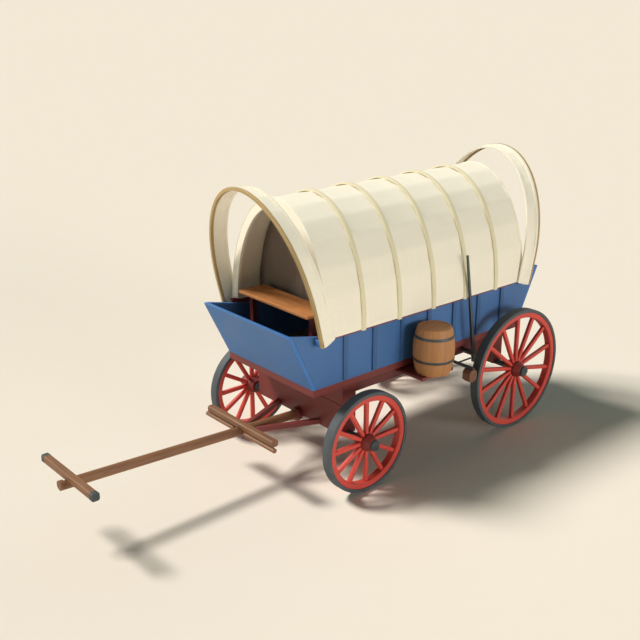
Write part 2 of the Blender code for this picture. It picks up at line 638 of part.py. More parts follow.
def build_seat(root):
    low, high = SEAT_Y - SEAT_DEPTH / 2, SEAT_Y + SEAT_DEPTH / 2
    box("seat_board", (-SEAT_HALF_LENGTH, low, SEAT_TOP_Z - SEAT_THICKNESS),
        (SEAT_HALF_LENGTH, high, SEAT_TOP_Z), "seat_wood", root)
    half = POST_SIZE / 2
    for name, side in (("near", 1), ("far", -1)):
        box(f"seat_post_{name}", (side * POST_X - half, POST_Y - half, FLOOR_Z),
            (side * POST_X + half, POST_Y + half, SEAT_TOP_Z - SEAT_THICKNESS - GAP), "barn_red", root)


def barrel_radius(share):
    """Outer radius at a height, given as a share of half the barrel from its middle."""
    return BARREL_RADIUS - (BARREL_RADIUS - BARREL_END_RADIUS) * share * share


def build_barrel(root):
    """Shelf, staved barrel with sunk heads, and its two iron hoops."""
    inner = BEAM_X + BEAM_WIDTH / 2 + GAP
    box("barrel_shelf", (inner, BARREL_Y - SHELF_HALF_LENGTH, SHELF_TOP_Z - SHELF_THICKNESS),
        (BOX_HALF_WIDTH + SHELF_OUT, BARREL_Y + SHELF_HALF_LENGTH, SHELF_TOP_Z), "barn_red", root)
    half = BARREL_HEIGHT / 2
    middle = SHELF_TOP_Z + GAP + half
    wall_shares = (-1, -0.75, -0.5, -0.25, 0, 0.25, 0.5, 0.75, 1)
    wall = [(share * half, barrel_radius(share)) for share in wall_shares]
    inside = BARREL_END_RADIUS - BARREL_STAVE
    head = half - BARREL_HEAD
    profile = [(-head, inside), (-half, inside)] + wall + [(half, inside), (head, inside)]
    shape = bmesh.new()
    add_turned(shape, profile, (BARREL_X, BARREL_Y, middle), "Z", BARREL_SEGMENTS)
    from_bmesh("barrel", shape, "barrel_wood", root, smooth=True)
    for name, share in (("upper", BARREL_HOOP_UPPER), ("lower", BARREL_HOOP_LOWER)):
        low = share * half - BARREL_HOOP_WIDTH / 2
        high = low + BARREL_HOOP_WIDTH
        inner_low, inner_high = (barrel_radius(along / half) + GAP for along in (low, high))
        shape = bmesh.new()
        add_turned(shape, [(low, inner_low + BARREL_HOOP_DEPTH), (high, inner_high + BARREL_HOOP_DEPTH),
                           (high, inner_high), (low, inner_low)],
                   (BARREL_X, BARREL_Y, middle), "Z", BARREL_SEGMENTS, closed=True)
        from_bmesh(f"barrel_hoop_{name}", shape, "iron", root, smooth=True)


def tongue_z(y):
    """Height of the tongue's centre line."""
    share = (-FRONT_BOX_HALF_DEPTH - y) / (-FRONT_BOX_HALF_DEPTH - TONGUE_TIP_Y)
    return TONGUE_ROOT_Z + share * (TONGUE_TIP_Z - TONGUE_ROOT_Z)


def tongue_flat_z(y):
    """Height of the flat cut into the tongue's top for a bar that crosses it there."""
    return tongue_z(y) + TONGUE_RADIUS - TONGUE_FLAT


def round_section(y, radius):
    turns = [math.tau * (i + 0.5) / SMALL_SEGMENTS for i in range(SMALL_SEGMENTS)]
    return [(radius * math.cos(a), y, tongue_z(y) + radius * math.sin(a)) for a in turns]


def build_front_gear(gear):
    """What turns about the kingpin: axle box, axle, hounds and tongue. The parent is on the kingpin."""
    wide = BOX_HALF_WIDTH - GAP
    lower = box("front_axle_box", (-wide, -FRONT_BOX_HALF_DEPTH, FRONT_RADIUS - BOX_DROP),
                (wide, FRONT_BOX_HALF_DEPTH, SEAM_Z), "barn_red", gear)
    combine(lower, axle_groove(0, FRONT_RADIUS), "DIFFERENCE")
    combine(lower, kingpin_bore(SEAM_Z - KINGPIN_END - GAP, SEAM_Z + OVERRUN), "DIFFERENCE")
    build_axle("front_axle", gear, 0, FRONT_RADIUS)
    pin = bmesh.new()
    add_turned(pin, [(SEAM_Z - KINGPIN_END, KINGPIN_RADIUS), (SEAM_Z + GAP, KINGPIN_RADIUS),
                     (SEAM_Z + GAP, PLATE_RADIUS), (SEAM_Z + SWING - GAP, PLATE_RADIUS),
                     (SEAM_Z + SWING - GAP, KINGPIN_RADIUS), (SEAM_Z + KINGPIN_END, KINGPIN_RADIUS)],
               (0, 0, 0), "Z", ROUND_SEGMENTS)
    from_bmesh("kingpin", pin, "iron", gear, smooth=True)
    root_y = -FRONT_BOX_HALF_DEPTH - GAP
    pole = bmesh.new()
    add_loft(pole, [round_section(root_y, TONGUE_RADIUS), round_section(TONGUE_TIP_Y, TONGUE_RADIUS)])
    tongue = from_bmesh("tongue", pole, "pole_wood", gear, smooth=True)
    flats = bmesh.new()
    for y, depth, turn in ((TREE_Y, TREE_DEPTH, TREE_TURN), (YOKE_Y, YOKE_DEPTH, YOKE_TURN)):
        reach = depth / 2 / math.cos(turn) + TONGUE_RADIUS * math.tan(turn) + SWING
        wide = TONGUE_RADIUS + OVERRUN
        low_z = tongue_flat_z(y)
        add_box(flats, (-wide, y - reach, low_z), (wide, y + reach, low_z + 2 * TONGUE_RADIUS))
    combine(tongue, flats, "DIFFERENCE")
    socket = bmesh.new()
    ends = (root_y, root_y - SOCKET_LENGTH)
    loops = [round_section(ends[0], SOCKET_RADIUS), round_section(ends[1], SOCKET_RADIUS),
             round_section(ends[1], TONGUE_RADIUS + GAP), round_section(ends[0], TONGUE_RADIUS + GAP)]
    rows = [[socket.verts.new(point) for point in ring] for ring in loops]
    for one, other in zip(rows, rows[1:] + rows[:1]):
        for i in range(len(one)):
            j = (i + 1) % len(one)
            socket.faces.new((one[i], one[j], other[j], other[i]))
    from_bmesh("tongue_socket", socket, "barn_red", gear, smooth=True)
    tip_y = root_y - HOUND_LENGTH
    for name, side in (("near", 1), ("far", -1)):
        beside = TONGUE_RADIUS + GAP
        half = HOUND_WIDTH / 2
        plan = [(side * (HOUND_ROOT_X - half), root_y), (side * (HOUND_ROOT_X + half), root_y),
                (side * (beside + HOUND_WIDTH), tip_y), (side * beside, tip_y)]
        shape = bmesh.new()
        add_loft(shape, [[(x, y, z) for x, y in plan]
                         for z in (HOUND_Z - HOUND_HEIGHT / 2, HOUND_Z + HOUND_HEIGHT / 2)])
        from_bmesh(f"hound_{name}", shape, "barn_red", gear)


def build_trees(gear):
    """Doubletree with its two singletrees, and the neck yoke, each on an empty at its pin."""
    bottom = tongue_flat_z(TREE_Y) + SWING
    pivot = empty("doubletree_pin", (0, TREE_Y, bottom), gear)
    outline = chamfered(TREE_DEPTH / 2, TREE_HEIGHT / 2)
    shape = bmesh.new()
    add_prism_x(shape, [(y, z + TREE_HEIGHT / 2) for y, z in outline], -TREE_HALF_LENGTH, TREE_HALF_LENGTH)
    tree = from_bmesh("doubletree", shape, "pole_wood", pivot)
    boss = bmesh.new()
    boss_profile = [(BOSS_CLEAR - SWING, BOSS_RADIUS), (OVERRUN, BOSS_RADIUS)]
    add_turned(boss, boss_profile, (0, 0, 0), "Z", SMALL_SEGMENTS)
    combine(tree, boss, "UNION")
    for name, side in (("near", 1), ("far", -1)):
        pin = empty(f"singletree_pin_{name}", (side * SINGLETREE_X, -SINGLETREE_AHEAD, 0), pivot)
        top = -SWING
        outline = chamfered(SINGLETREE_DEPTH / 2, SINGLETREE_HEIGHT / 2)
        shape = bmesh.new()
        add_prism_x(shape, [(y, z + top - SINGLETREE_HEIGHT / 2) for y, z in outline],
                    -SINGLETREE_HALF_LENGTH, SINGLETREE_HALF_LENGTH)
        bar = from_bmesh(f"singletree_{name}", shape, "pole_wood", pin)
        boss = bmesh.new()
        pin_profile = [(top - OVERRUN, PIN_RADIUS), (-GAP, PIN_RADIUS)]
        add_turned(boss, pin_profile, (0, 0, 0), "Z", SMALL_SEGMENTS)
        combine(bar, boss, "UNION")
    yoke_bottom = tongue_flat_z(YOKE_Y) + SWING
    pivot = empty("neck_yoke_pin", (0, YOKE_Y, yoke_bottom), gear)
    outline = chamfered(YOKE_DEPTH / 2, YOKE_HEIGHT / 2)
    shape = bmesh.new()
    add_prism_x(shape, [(y, z + YOKE_HEIGHT / 2) for y, z in outline], -YOKE_HALF_LENGTH, YOKE_HALF_LENGTH)
    yoke = from_bmesh("neck_yoke", shape, "pole_wood", pivot)
    boss = bmesh.new()
    add_turned(boss, boss_profile, (0, 0, 0), "Z", SMALL_SEGMENTS)
    combine(yoke, boss, "UNION")


def build_brake(root):
    """Hand lever on its pin, and the bar with its two blocks in front of the rear wheels."""
    half = LEVER_SIZE / 2
    pin = bmesh.new()
    start = BEAM_X + BEAM_WIDTH / 2 + GAP
    shoulder = LEVER_X - half - SWING
    add_turned(pin, [(start, KNUCKLE_RADIUS), (shoulder, KNUCKLE_RADIUS), (shoulder, PIVOT_RADIUS),
                     (LEVER_X + half + SWING, PIVOT_RADIUS)],
               (0, PIVOT_Y, PIVOT_Z), "X", SMALL_SEGMENTS)
    from_bmesh("brake_pin", pin, "iron", root, smooth=True)
    pivot = empty("brake_lever_pivot", (LEVER_X, PIVOT_Y, PIVOT_Z), root)
    slope = -LEVER_LEAN / LEVER_HEIGHT
    shape = bmesh.new()
    corners = ((-1, -1), (1, -1), (1, 1), (-1, 1))
    add_loft(shape, [
        [(x * size / 2, slope * z + y * size / 2, z) for x, y in corners]
        for z, size in ((-LEVER_BELOW, LEVER_SIZE), (LEVER_HEIGHT, LEVER_TIP))
    ])
    lever = from_bmesh("brake_lever", shape, "iron", pivot)
    knuckle = bmesh.new()
    add_turned(knuckle, [(-half, KNUCKLE_RADIUS), (half, KNUCKLE_RADIUS)], (0, 0, 0), "X", SMALL_SEGMENTS)
    combine(lever, knuckle, "UNION")
    bore = bmesh.new()
    wide = PIVOT_RADIUS + RUNNING
    through = half + OVERRUN
    add_turned(bore, [(-through, wide), (through, wide)], (0, 0, 0), "X", SMALL_SEGMENTS)
    combine(lever, bore, "DIFFERENCE")
    face_y = REAR_Y - REAR_RADIUS - BRAKE_CLEAR
    bar_y = face_y - BLOCK_LENGTH / 2
    bar = bmesh.new()
    reach = WHEEL_X + TYRE_WIDTH / 2
    thick = BRAKE_BAR / 2
    add_box(bar, (-reach, bar_y - thick, BRAKE_BAR_Z - thick),
            (reach, bar_y + thick, BRAKE_BAR_Z + thick))
    beam = from_bmesh("brake_bar", bar, "iron", root)
    link = bmesh.new()
    low_x = LEVER_X - half - SWING - LINK_SIZE
    link_top = BRAKE_BAR_Z + thick
    add_box(link, (low_x, bar_y, link_top - LINK_SIZE), (low_x + LINK_SIZE, PIVOT_Y, link_top))
    combine(beam, link, "UNION")
    for name, side in (("near", 1), ("far", -1)):
        low, high = bar_y - thick - SWING, bar_y + thick + BRAKE_TRAVEL + SWING
        tray = BRAKE_BAR_Z - thick - GAP
        strap = [(low - GUIDE_THICKNESS, BEAM_LOW_Z - GAP), (low - GUIDE_THICKNESS, tray - GUIDE_THICKNESS),
                 (high + GUIDE_THICKNESS, tray - GUIDE_THICKNESS), (high + GUIDE_THICKNESS, BEAM_LOW_Z - GAP),
                 (high, BEAM_LOW_Z - GAP), (high, tray), (low, tray), (low, BEAM_LOW_Z - GAP)]
        shape = bmesh.new()
        add_prism_x(shape, strap, side * BEAM_X - GUIDE_LENGTH / 2, side * BEAM_X + GUIDE_LENGTH / 2)
        from_bmesh(f"brake_guide_{name}", shape, "iron", root)
        section = chamfered(BLOCK_LENGTH / 2, BLOCK_HEIGHT / 2, BLOCK_CHAMFER)
        shape = bmesh.new()
        add_prism_x(shape, [(y + bar_y, z + tray - BLOCK_HEIGHT / 2) for y, z in section],
                    side * (WHEEL_X - TYRE_WIDTH / 2), side * (WHEEL_X + TYRE_WIDTH / 2))
        from_bmesh(f"brake_block_{name}", shape, "pole_wood", root)


def build_wheels(root, gear):
    table = (  # name, parent, side, y, radius, spokes
        ("front_near", gear, 1, 0, FRONT_RADIUS, FRONT_SPOKES),
        ("front_far", gear, -1, 0, FRONT_RADIUS, FRONT_SPOKES),
        ("rear_near", root, 1, REAR_Y, REAR_RADIUS, REAR_SPOKES),
        ("rear_far", root, -1, REAR_Y, REAR_RADIUS, REAR_SPOKES),
    )
    for name, parent, side, y, radius, spokes in table:
        hub = empty(f"hub_{name}", (side * WHEEL_X, y, radius), parent)
        build_wheel(name, hub, side, radius, spokes)


def main():
    clear_scene()
    root = empty("wagon_frame", FRAME_PLACE)
    gear = empty("front_gear", (0, 0, 0), root)
    build_bed(root)
    build_box_body(root)
    build_cover(root)
    build_bonnets(root)
    build_seat(root)
    build_barrel(root)
    build_front_gear(gear)
    build_trees(gear)
    build_brake(root)
    build_wheels(root, gear)


main()
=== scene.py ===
"""The covered wagon dressed for rendering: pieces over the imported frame, materials, light and camera.

Metres, +Z up. Places are given from the point on the ground under the middle of the front axle, and
at() turns them into the frame's own coordinates. +X is the side with the barrel, -Y the tongue.
"""
import math
import random

import bmesh
import bpy
from mathutils import Matrix, Vector


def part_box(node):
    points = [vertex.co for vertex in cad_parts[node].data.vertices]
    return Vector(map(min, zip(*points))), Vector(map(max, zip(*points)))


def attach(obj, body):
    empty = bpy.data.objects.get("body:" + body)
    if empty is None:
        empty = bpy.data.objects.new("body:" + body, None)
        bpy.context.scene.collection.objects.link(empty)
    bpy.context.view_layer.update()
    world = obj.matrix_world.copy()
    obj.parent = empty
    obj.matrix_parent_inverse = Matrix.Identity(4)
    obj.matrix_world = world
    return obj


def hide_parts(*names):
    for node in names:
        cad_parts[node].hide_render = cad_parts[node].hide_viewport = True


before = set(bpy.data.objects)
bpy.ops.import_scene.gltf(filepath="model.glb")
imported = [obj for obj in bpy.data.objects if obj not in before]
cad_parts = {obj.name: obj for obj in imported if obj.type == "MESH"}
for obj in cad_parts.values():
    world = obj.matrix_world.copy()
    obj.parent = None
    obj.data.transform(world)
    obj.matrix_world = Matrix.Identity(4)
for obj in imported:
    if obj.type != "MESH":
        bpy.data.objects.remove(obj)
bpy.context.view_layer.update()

RANDOM = random.Random(7)

# Where the wagon's own zero lies in the frame
_low, _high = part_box("front_axle")
ORIGIN = Vector(((_low.x + _high.x) / 2, (_low.y + _high.y) / 2, 0))

# Body: sizes of the solids that the pieces below stand on or replace
GAP = 0.0003  # between pieces that touch
BODY_X = 0.65
SIDE_TOP_Z = 1.535
RAIL_TOP_Z = 1.571
RIBS, RIB_MIDDLE, RIB_SPACING, RIB_DEPTH = 7, 1.051, 0.37, 0.02
RIB_BOLTS_Z = (1.115, 1.29, 1.465)

# Cover: an arch on straight walls, with hoops on it, bows under it and a rim at each end
COVER_X = 0.715
SPRING_Z = 1.60
COVER_TOP_Z = 2.72
COVER_LOW_Y, COVER_HIGH_Y = -0.34, 2.41
COVER_FOOT_Z = SIDE_TOP_Z + 0.0115  # the cloth ends a little above the body, so that the rail shows
COVER_SLACK = 0.006
COVER_PITCH = 0.026  # between the lines of points that run over the cover
COVER_TIGHT, BONNET_TIGHT = 0.92, 0.85  # how straight the cloth lies between its seams
SLACK_HEIGHT = 0.12  # the slack is full from here up, above a sheet's foot
CLOTH = 0.003
WALL_STEPS, ARCH_STEPS = 8, 96  # up each straight wall and round the arch
SEAM_TURNS = [math.radians(turn) for turn in (2.5, 16.5, 30.5, 44.5, 58.5, 72.5, 90.0)]
HOOP_SPACING, HOOP_WIDTH, HOOP_HEIGHT = 0.466, 0.055, 0.0138
HOOPS, HOOPS_MIDDLE = 5, 1.046
HOOPS_Y = [HOOPS_MIDDLE + (i - HOOPS // 2) * HOOP_SPACING for i in range(HOOPS)]
BOW_WIDTH, BOW_INSIDE = 0.045, 0.052  # its inner face lies this far in from the cover's arch
RIM_DEPTH, RIM_WIDTH = 0.09, 0.03
# The foot hem's outline: height above the cover's foot, and distance out from the cover
HEM_OUTLINE = ((0.0, 0.0004), (0.0, 0.0012), (0.003, 0.0020), (0.040, 0.0016), (0.046, 0.0008),
               (0.046, 0.0004))
HEM_LIFT = 0.0004  # a rim stays this far under the cloth, a bonnet's hem stands out as far
CURTAIN_Y, CURTAIN_INSIDE = -0.021, 0.0315  # its edge lies this far in from the same arch
CURTAIN_FOLD, CURTAIN_CLOTH = 0.003, 0.002

# Bonnets, and the bows that carry them
BONNET_FOOT_Z, BONNET_SPRING_Z = 1.50, 1.77
BONNET_EDGE = (0.768, 2.87)  # half width and top of a bonnet's arch at its bow
BONNET_INSIDE = (0.738, 2.85)  # and at its inner edge
BONNET_LEAN = math.tan(math.radians(13.5))
BONNET_BAND, BONNET_SLACK = 0.156, 0.004
BONNET_RISE = 0.045  # how much higher the foot of its inner edge is than the bow's
END_BOW_WIDTH, END_BOW_DEPTH = 0.028, 0.034
END_BOW_SHARE = END_BOW_WIDTH / (END_BOW_WIDTH + BONNET_BAND)
BOW_FOOT_FRONT, BOW_FOOT_REAR = -0.40, 2.47
BOW_BLOCK_HEIGHT = 0.058

# Wheels
WHEEL_X = 0.89
WHEEL_PAIRS = (("front", 0.0, 0.50, 12), ("rear", 2.17, 0.657, 14))  # end, Y, radius, spokes
TYRE_WIDTH, TYRE_DEPTH = 0.10, 0.034
FELLOE_WIDTH, FELLOE_DEPTH = 0.085, 0.055
SPOKE_ROOT, HUB_BORE = 0.078, 0.0308

# Barrel
BARREL_AT = Vector((0.8855, 0.89, 1.2043))
BARREL_HALF = 0.234  # half its height
BARREL_RADIUS, BARREL_END_RADIUS = 0.2045, 0.168
BARREL_HOOPS = (("upper", 0.1498), ("lower", -0.0842))
BARREL_HOOP_WIDTH = 0.026

YOKE_HALF = 0.036  # half the neck yoke's depth

# Camera, floor and light
CAMERA_AIM = (-0.4845, 0.6095, 1.1908)
CAMERA_AZIMUTH, CAMERA_ELEVATION, CAMERA_DISTANCE = 49.4844, 19.7213, 10.2305
CAMERA_FOCAL = 971.036 / 640  # focal length over the picture's width
CAMERA_SENSOR = 36.0
STUDIO = (0.896, 0.807, 0.672)  # floor and backdrop as they show
FLOOR_TINT = (0.842, 0.755, 0.647, 1)
FLOOR_REACH = 400.0
WORLD_TINT, WORLD_LIGHT = (0.55, 1.0, 0.80, 1), 0.03
# Name, direction in which the light travels, strength, angle and colour
LAMPS = (
    ("key", (0.62, 0.52, -1.0), 3.78, 14, (1.0, 0.978, 0.94)),
    ("side", (-1.0, -0.15, -0.015), 2.95, 36, (0.99, 1.0, 1.0)),
    ("front", (0.0, 1.0, -0.02), 0.66, 20, (0.88, 0.98, 1.0)),
    ("rear", (0.2, -1.0, -0.50), 0.38, 50, (0.64, 1.0, 0.88)),
)


def at(x, y, z):
    """A place of the wagon's own in the frame's coordinates."""
    return ORIGIN + Vector((x, y, z))


# Materials

def linear(red, green, blue):
    """Linear colour of an 8-bit sRGB one."""
    def one(value):
        value /= 255
        return value / 12.92 if value <= 0.04045 else ((value + 0.055) / 1.055) ** 2.4
    return (one(red), one(green), one(blue), 1)


class Graph:
    """Short calls for building a node tree."""

    def __init__(self, name):
        self.material = bpy.data.materials.new(name)
        self.material.use_nodes = True
        self.tree = self.material.node_tree
        self.shader = self.tree.nodes["Principled BSDF"]

    def node(self, kind, inputs=None, **settings):
        made = self.tree.nodes.new(f"ShaderNode{kind}")
        for key, value in settings.items():
            setattr(made, key, value)
        for key, value in (inputs or {}).items():
            self.put(value, made.inputs[key])
        return made

    def put(self, value, socket):
        if isinstance(value, bpy.types.NodeSocket):
            self.tree.links.new(value, socket)
        else:
            socket.default_value = value

    def place(self, scale, source="Object"):
        """Coordinates of the piece itself, or its grain attribute, stretched by scale."""
        if source == "grain":
            start = self.node("Attribute", attribute_name="grain").outputs["Vector"]
        else:
            start = self.node("TexCoord").outputs["Object"]
        return self.node("Mapping", {"Vector": start, "Scale": scale}).outputs["Vector"]

    def noise(self, vector, scale, detail, rough):
        return self.node("TexNoise", {"Vector": vector, "Scale": scale, "Detail": detail,
                                      "Roughness": rough}).outputs["Fac"]

    def range(self, value, low, high, new_low, new_high):
        return self.node("MapRange", {"Value": value, "From Min": low, "From Max": high,
                                      "To Min": new_low, "To Max": new_high}).outputs["Result"]

    def math(self, operation, one, other=0.0):
        return self.node("Math", {0: one, 1: other}, operation=operation).outputs["Value"]

    def mix(self, share, one, other):
        made = self.node("Mix", data_type="RGBA")
        for socket, value in zip((made.inputs[0], made.inputs[6], made.inputs[7]), (share, one, other)):
            self.put(value, socket)
        return made.outputs[2]

    def edges(self, radius):
        """1 on sharp edges, falling to 0 away from them."""
        soft = self.node("Bevel", {"Radius": radius}, samples=4).outputs["Normal"]
        hard = self.node("NewGeometry").outputs["Normal"]
        dot = self.node("VectorMath", {0: soft, 1: hard}, operation="DOT_PRODUCT").outputs["Value"]
        return self.range(dot, 0.97, 0.75, 0.0, 1.0)

    def finish(self, colour, roughness, height, strength, distance, **fixed):
        self.put(colour, self.shader.inputs["Base Color"])
        self.put(roughness, self.shader.inputs["Roughness"])
        bump = self.node("Bump", {"Height": height, "Strength": strength, "Distance": distance})
        self.put(bump.outputs["Normal"], self.shader.inputs["Normal"])
        for key, value in fixed.items():
            self.shader.inputs[key.replace("_", " ")].default_value = value
        return self.material


def shade(colour, factor):
    """A colour made lighter or darker."""
    return tuple(channel * factor for channel in colour[:3]) + (1,)


def along(axis, fine, coarse):
    """Scale that keeps detail fine across the grain and draws it out along one axis."""
    return tuple(coarse if name == axis else fine for name in "XYZ")


def painted_wood(name, colour, axis="Y", source="Object", wear=0.5, worn=None, rib_shade=None):
    """Brushed paint over planed wood: faint brush streaks, patches, and edges rubbed lighter.

    Given a darker tone for the ribs, the outer faces of the raised ribs on the body's sides are painted
    in it, as painted shade.
    """
    g = Graph(name)
    streaks = g.noise(g.place(along(axis, 1.0, 0.05), source), 120, 5, 0.6)
    patches = g.noise(g.place((1, 1, 1), source), 2.3, 4, 0.6)
    base = g.mix(g.range(patches, 0.35, 0.65, 0.0, 1.0), shade(colour, 0.93), shade(colour, 1.06))
    base = g.mix(g.range(streaks, 0.3, 0.7, 0.0, 0.18), base, shade(colour, 0.74))
    if rib_shade:
        # Painted shade: the ribs' outer faces, standing proud of the panels, are painted darker
        across = g.node("SeparateXYZ", {"Vector": g.place((1, 1, 1))}).outputs["X"]
        out = g.math("ABSOLUTE", g.math("SUBTRACT", across, ORIGIN.x))
        raised = g.range(out, BODY_X + RIB_DEPTH - 0.004, BODY_X + RIB_DEPTH - 0.001, 0.0, 1.0)
        base = g.mix(raised, base, rib_shade)
    scuffs = g.noise(g.place((1, 1, 1), source), 38, 6, 0.7)
    rubbed = g.math("MULTIPLY", g.edges(0.005), g.range(scuffs, 0.42, 0.62, 0.0, wear))
    base = g.mix(rubbed, base, worn or shade(colour, 1.9))
    roughness = g.range(patches, 0.3, 0.7, 0.43, 0.60)
    return g.finish(base, roughness, streaks, 0.22, 0.0012, Specular_IOR_Level=0.42)


def bare_wood(name, colour, dark, axis="Y", source="Object", rings=9.0, gloss=0.5, grain=1.0):
    """Wood with grain lines, darker pores and lighter worn edges."""
    g = Graph(name)
    wander = g.node("TexNoise", {"Vector": g.place(along(axis, 1.0, 0.12), source), "Scale": 7.0,
                                 "Detail": 3.0, "Distortion": 0.4})
    bands = g.math("MULTIPLY", wander.outputs["Fac"], rings)
    bands = g.math("SINE", g.math("MULTIPLY", bands, math.tau))
    pores = g.noise(g.place(along(axis, 1.0, 0.035), source), 150, 6, 0.65)
    base = g.mix(g.range(bands, -1.0, 1.0, 0.0, 0.5 * grain), colour, dark)
    base = g.mix(g.range(pores, 0.45, 0.75, 0.0, 0.55 * grain), base, shade(dark, 0.6))
    patches = g.noise(g.place((1, 1, 1), source), 3.1, 3, 0.5)
    base = g.mix(g.range(patches, 0.3, 0.7, 0.0, 0.35), base, shade(colour, 1.15))
    base = g.mix(g.math("MULTIPLY", g.edges(0.004), 0.45), base, shade(colour, 1.6))
    height = g.math("ADD", g.math("MULTIPLY", bands, 0.25), pores)
    roughness = g.range(pores, 0.3, 0.7, gloss - 0.06, gloss + 0.14)
    return g.finish(base, roughness, height, 0.28, 0.0014, Specular_IOR_Level=0.4)


def iron(name, colour, gloss=0.45, metallic=0.55):
    """Forged iron: mottled, faintly hammered, with a trace of rust and brighter rubbed edges."""
    g = Graph(name)
    place = g.place((1, 1, 1))
    mottle = g.noise(place, 14, 6, 0.65)
    cells = g.node("TexVoronoi", {"Vector": place, "Scale": 55.0}, feature="SMOOTH_F1")
    base = g.mix(g.range(mottle, 0.35, 0.65, 0.0, 1.0), shade(colour, 0.8), shade(colour, 1.2))
    rust = g.range(g.noise(place, 31, 8, 0.75), 0.60, 0.74, 0.0, 0.35)
    base = g.mix(rust, base, RUST)
    base = g.mix(g.math("MULTIPLY", g.edges(0.003), 0.4), base, shade(colour, 2.4))
    height = g.math("ADD", g.math("MULTIPLY", cells.outputs["Distance"], 0.6), mottle)
    roughness = g.range(mottle, 0.3, 0.7, gloss - 0.08, gloss + 0.16)
    return g.finish(base, roughness, height, 0.25, 0.002, Metallic=metallic)


def woven(name, colour, pitch=420.0, slub=1.0):
    """Cotton duck: plain weave, faint slubs both ways, soft creases and a little soiling."""
    g = Graph(name)
    place = g.place((1, 1, 1), "grain")
    threads = [
        g.node("TexWave", {"Vector": place, "Scale": pitch / math.tau, "Distortion": 0.6,
                           "Detail": 1.0}, wave_type="BANDS", bands_direction=way).outputs["Fac"]
        for way in "XY"
    ]
    weave = g.math("MULTIPLY", *threads)
    slub_one = g.noise(g.place((1.0, 0.03, 1.0), "grain"), 90, 3, 0.5)
    slub_two = g.noise(g.place((0.03, 1.0, 1.0), "grain"), 90, 3, 0.5)
    slubs = g.math("ADD", slub_one, slub_two)
    creases = g.noise(g.place((0.7, 1.6, 1.0), "grain"), 5.5, 4, 0.5)
    base = g.mix(g.range(slubs, 0.8, 1.25, 0.0, 0.35 * slub), shade(colour, 1.02), shade(colour, 0.92))
    base = g.mix(g.range(weave, 0.0, 1.0, 0.05, 0.0), base, shade(colour, 0.80))
    stains = g.noise(place, 1.7, 6, 0.6)
    base = g.mix(g.range(stains, 0.55, 0.8, 0.0, 0.14), base, shade(colour, 0.76))
    height = g.math("ADD", g.math("MULTIPLY", weave, 0.12), g.math("MULTIPLY", slubs, 0.10 * slub))
    height = g.math("ADD", height, g.math("MULTIPLY", creases, 1.4))
    roughness = g.range(weave, 0.0, 1.0, 0.92, 0.84)
    return g.finish(base, roughness, height, 0.26, 0.004, Specular_IOR_Level=0.2, Sheen_Weight=0.12,
                    Sheen_Roughness=0.5)


BLUE = linear(64, 106, 158)
# Painted light: the end boards take a lighter blue than the sides, for the extra light they catch
BLUE_BOARD_LIT = linear(61, 115, 178)
BLUE_WORN = linear(124, 156, 194)
BARN_RED = linear(118, 50, 46)
WHEEL_RED = linear(204, 70, 58)
HUB_RED = linear(126, 42, 38)
CANVAS_TINT = linear(249, 240, 219)
BAND_TINT = linear(230, 219, 184)
IRON_TINT = linear(66, 72, 74)
TYRE_TINT = linear(72, 78, 82)
RUST = (0.16, 0.06, 0.025, 1)
CURTAIN_TINT = linear(116, 101, 88)
BOW_TINT, BOW_DARK = linear(180, 152, 103), linear(138, 112, 72)
SEAT_TINT, SEAT_DARK = linear(194, 130, 76), linear(152, 92, 48)
OAK_TINT, OAK_DARK = linear(176, 122, 74), linear(146, 94, 54)
POLE_TINT, POLE_DARK = linear(132, 91, 60), linear(98, 64, 44)
BLOCK_TINT = linear(122, 80, 56)
BOARDS_TINT, BOARDS_DARK = linear(74, 60, 50), linear(44, 34, 28)

M = {
    "blue_y": painted_wood("blue paint along", BLUE, "Y", worn=BLUE_WORN),
    # The ribs' darker blue is painted shade
    "blue_shaded_ribs": painted_wood("blue paint on ribs", BLUE, "Y", worn=BLUE_WORN, rib_shade=shade(BLUE, 0.72)),
    "blue_lit_x": painted_wood("blue paint across", BLUE_BOARD_LIT, "X", worn=BLUE_WORN),
    "red_x": painted_wood("dark red paint across", BARN_RED, "X"),
    "red_y": painted_wood("dark red paint along", BARN_RED, "Y"),
    "red_z": painted_wood("dark red paint upright", BARN_RED, "Z"),
    "wheel": painted_wood("wheel red paint", WHEEL_RED, "Z", "grain", wear=0.35),
    "hub": painted_wood("hub red paint", HUB_RED, "X", wear=0.4),
    "iron": iron("forged iron", IRON_TINT),
    "tyre": iron("tyre iron", TYRE_TINT, 0.62, 0.12),
    "canvas": woven("canvas", CANVAS_TINT),
    "band": woven("canvas band", BAND_TINT),
    "curtain": woven("curtain cloth", CURTAIN_TINT, 300.0, 0.4),
    "bow": bare_wood("bow wood", BOW_TINT, BOW_DARK, "Z", "grain", 4.0, 0.5, 0.7),
    "seat": bare_wood("seat wood", SEAT_TINT, SEAT_DARK, "X", "Object", 7.0, 0.42),
    "stave": bare_wood("barrel oak", OAK_TINT, OAK_DARK, "Z", "grain", 5.0, 0.5, 0.7),
    "head": bare_wood("barrel head oak", shade(OAK_TINT, 1.05), OAK_DARK, "Y", "grain", 5.0, 0.5, 0.5),
    "pole_y": bare_wood("pole wood along", POLE_TINT, POLE_DARK, "Y", "Object", 5.0),
    "pole_x": bare_wood("pole wood across", POLE_TINT, POLE_DARK, "X", "Object", 5.0),
    "block": bare_wood("brake block wood", BLOCK_TINT, POLE_DARK, "X", "Object", 5.0),
    # Painted shade: the red darkened for the side beams, which sit in shade under the bed frame
    "red_shaded_y": painted_wood("shaded red paint along", shade(BARN_RED, 0.68), "Y"),
    "floor": bare_wood("floor wood", BOARDS_TINT, BOARDS_DARK, "Y", "Object", 6.0, 0.7),
}


# Mesh helpers

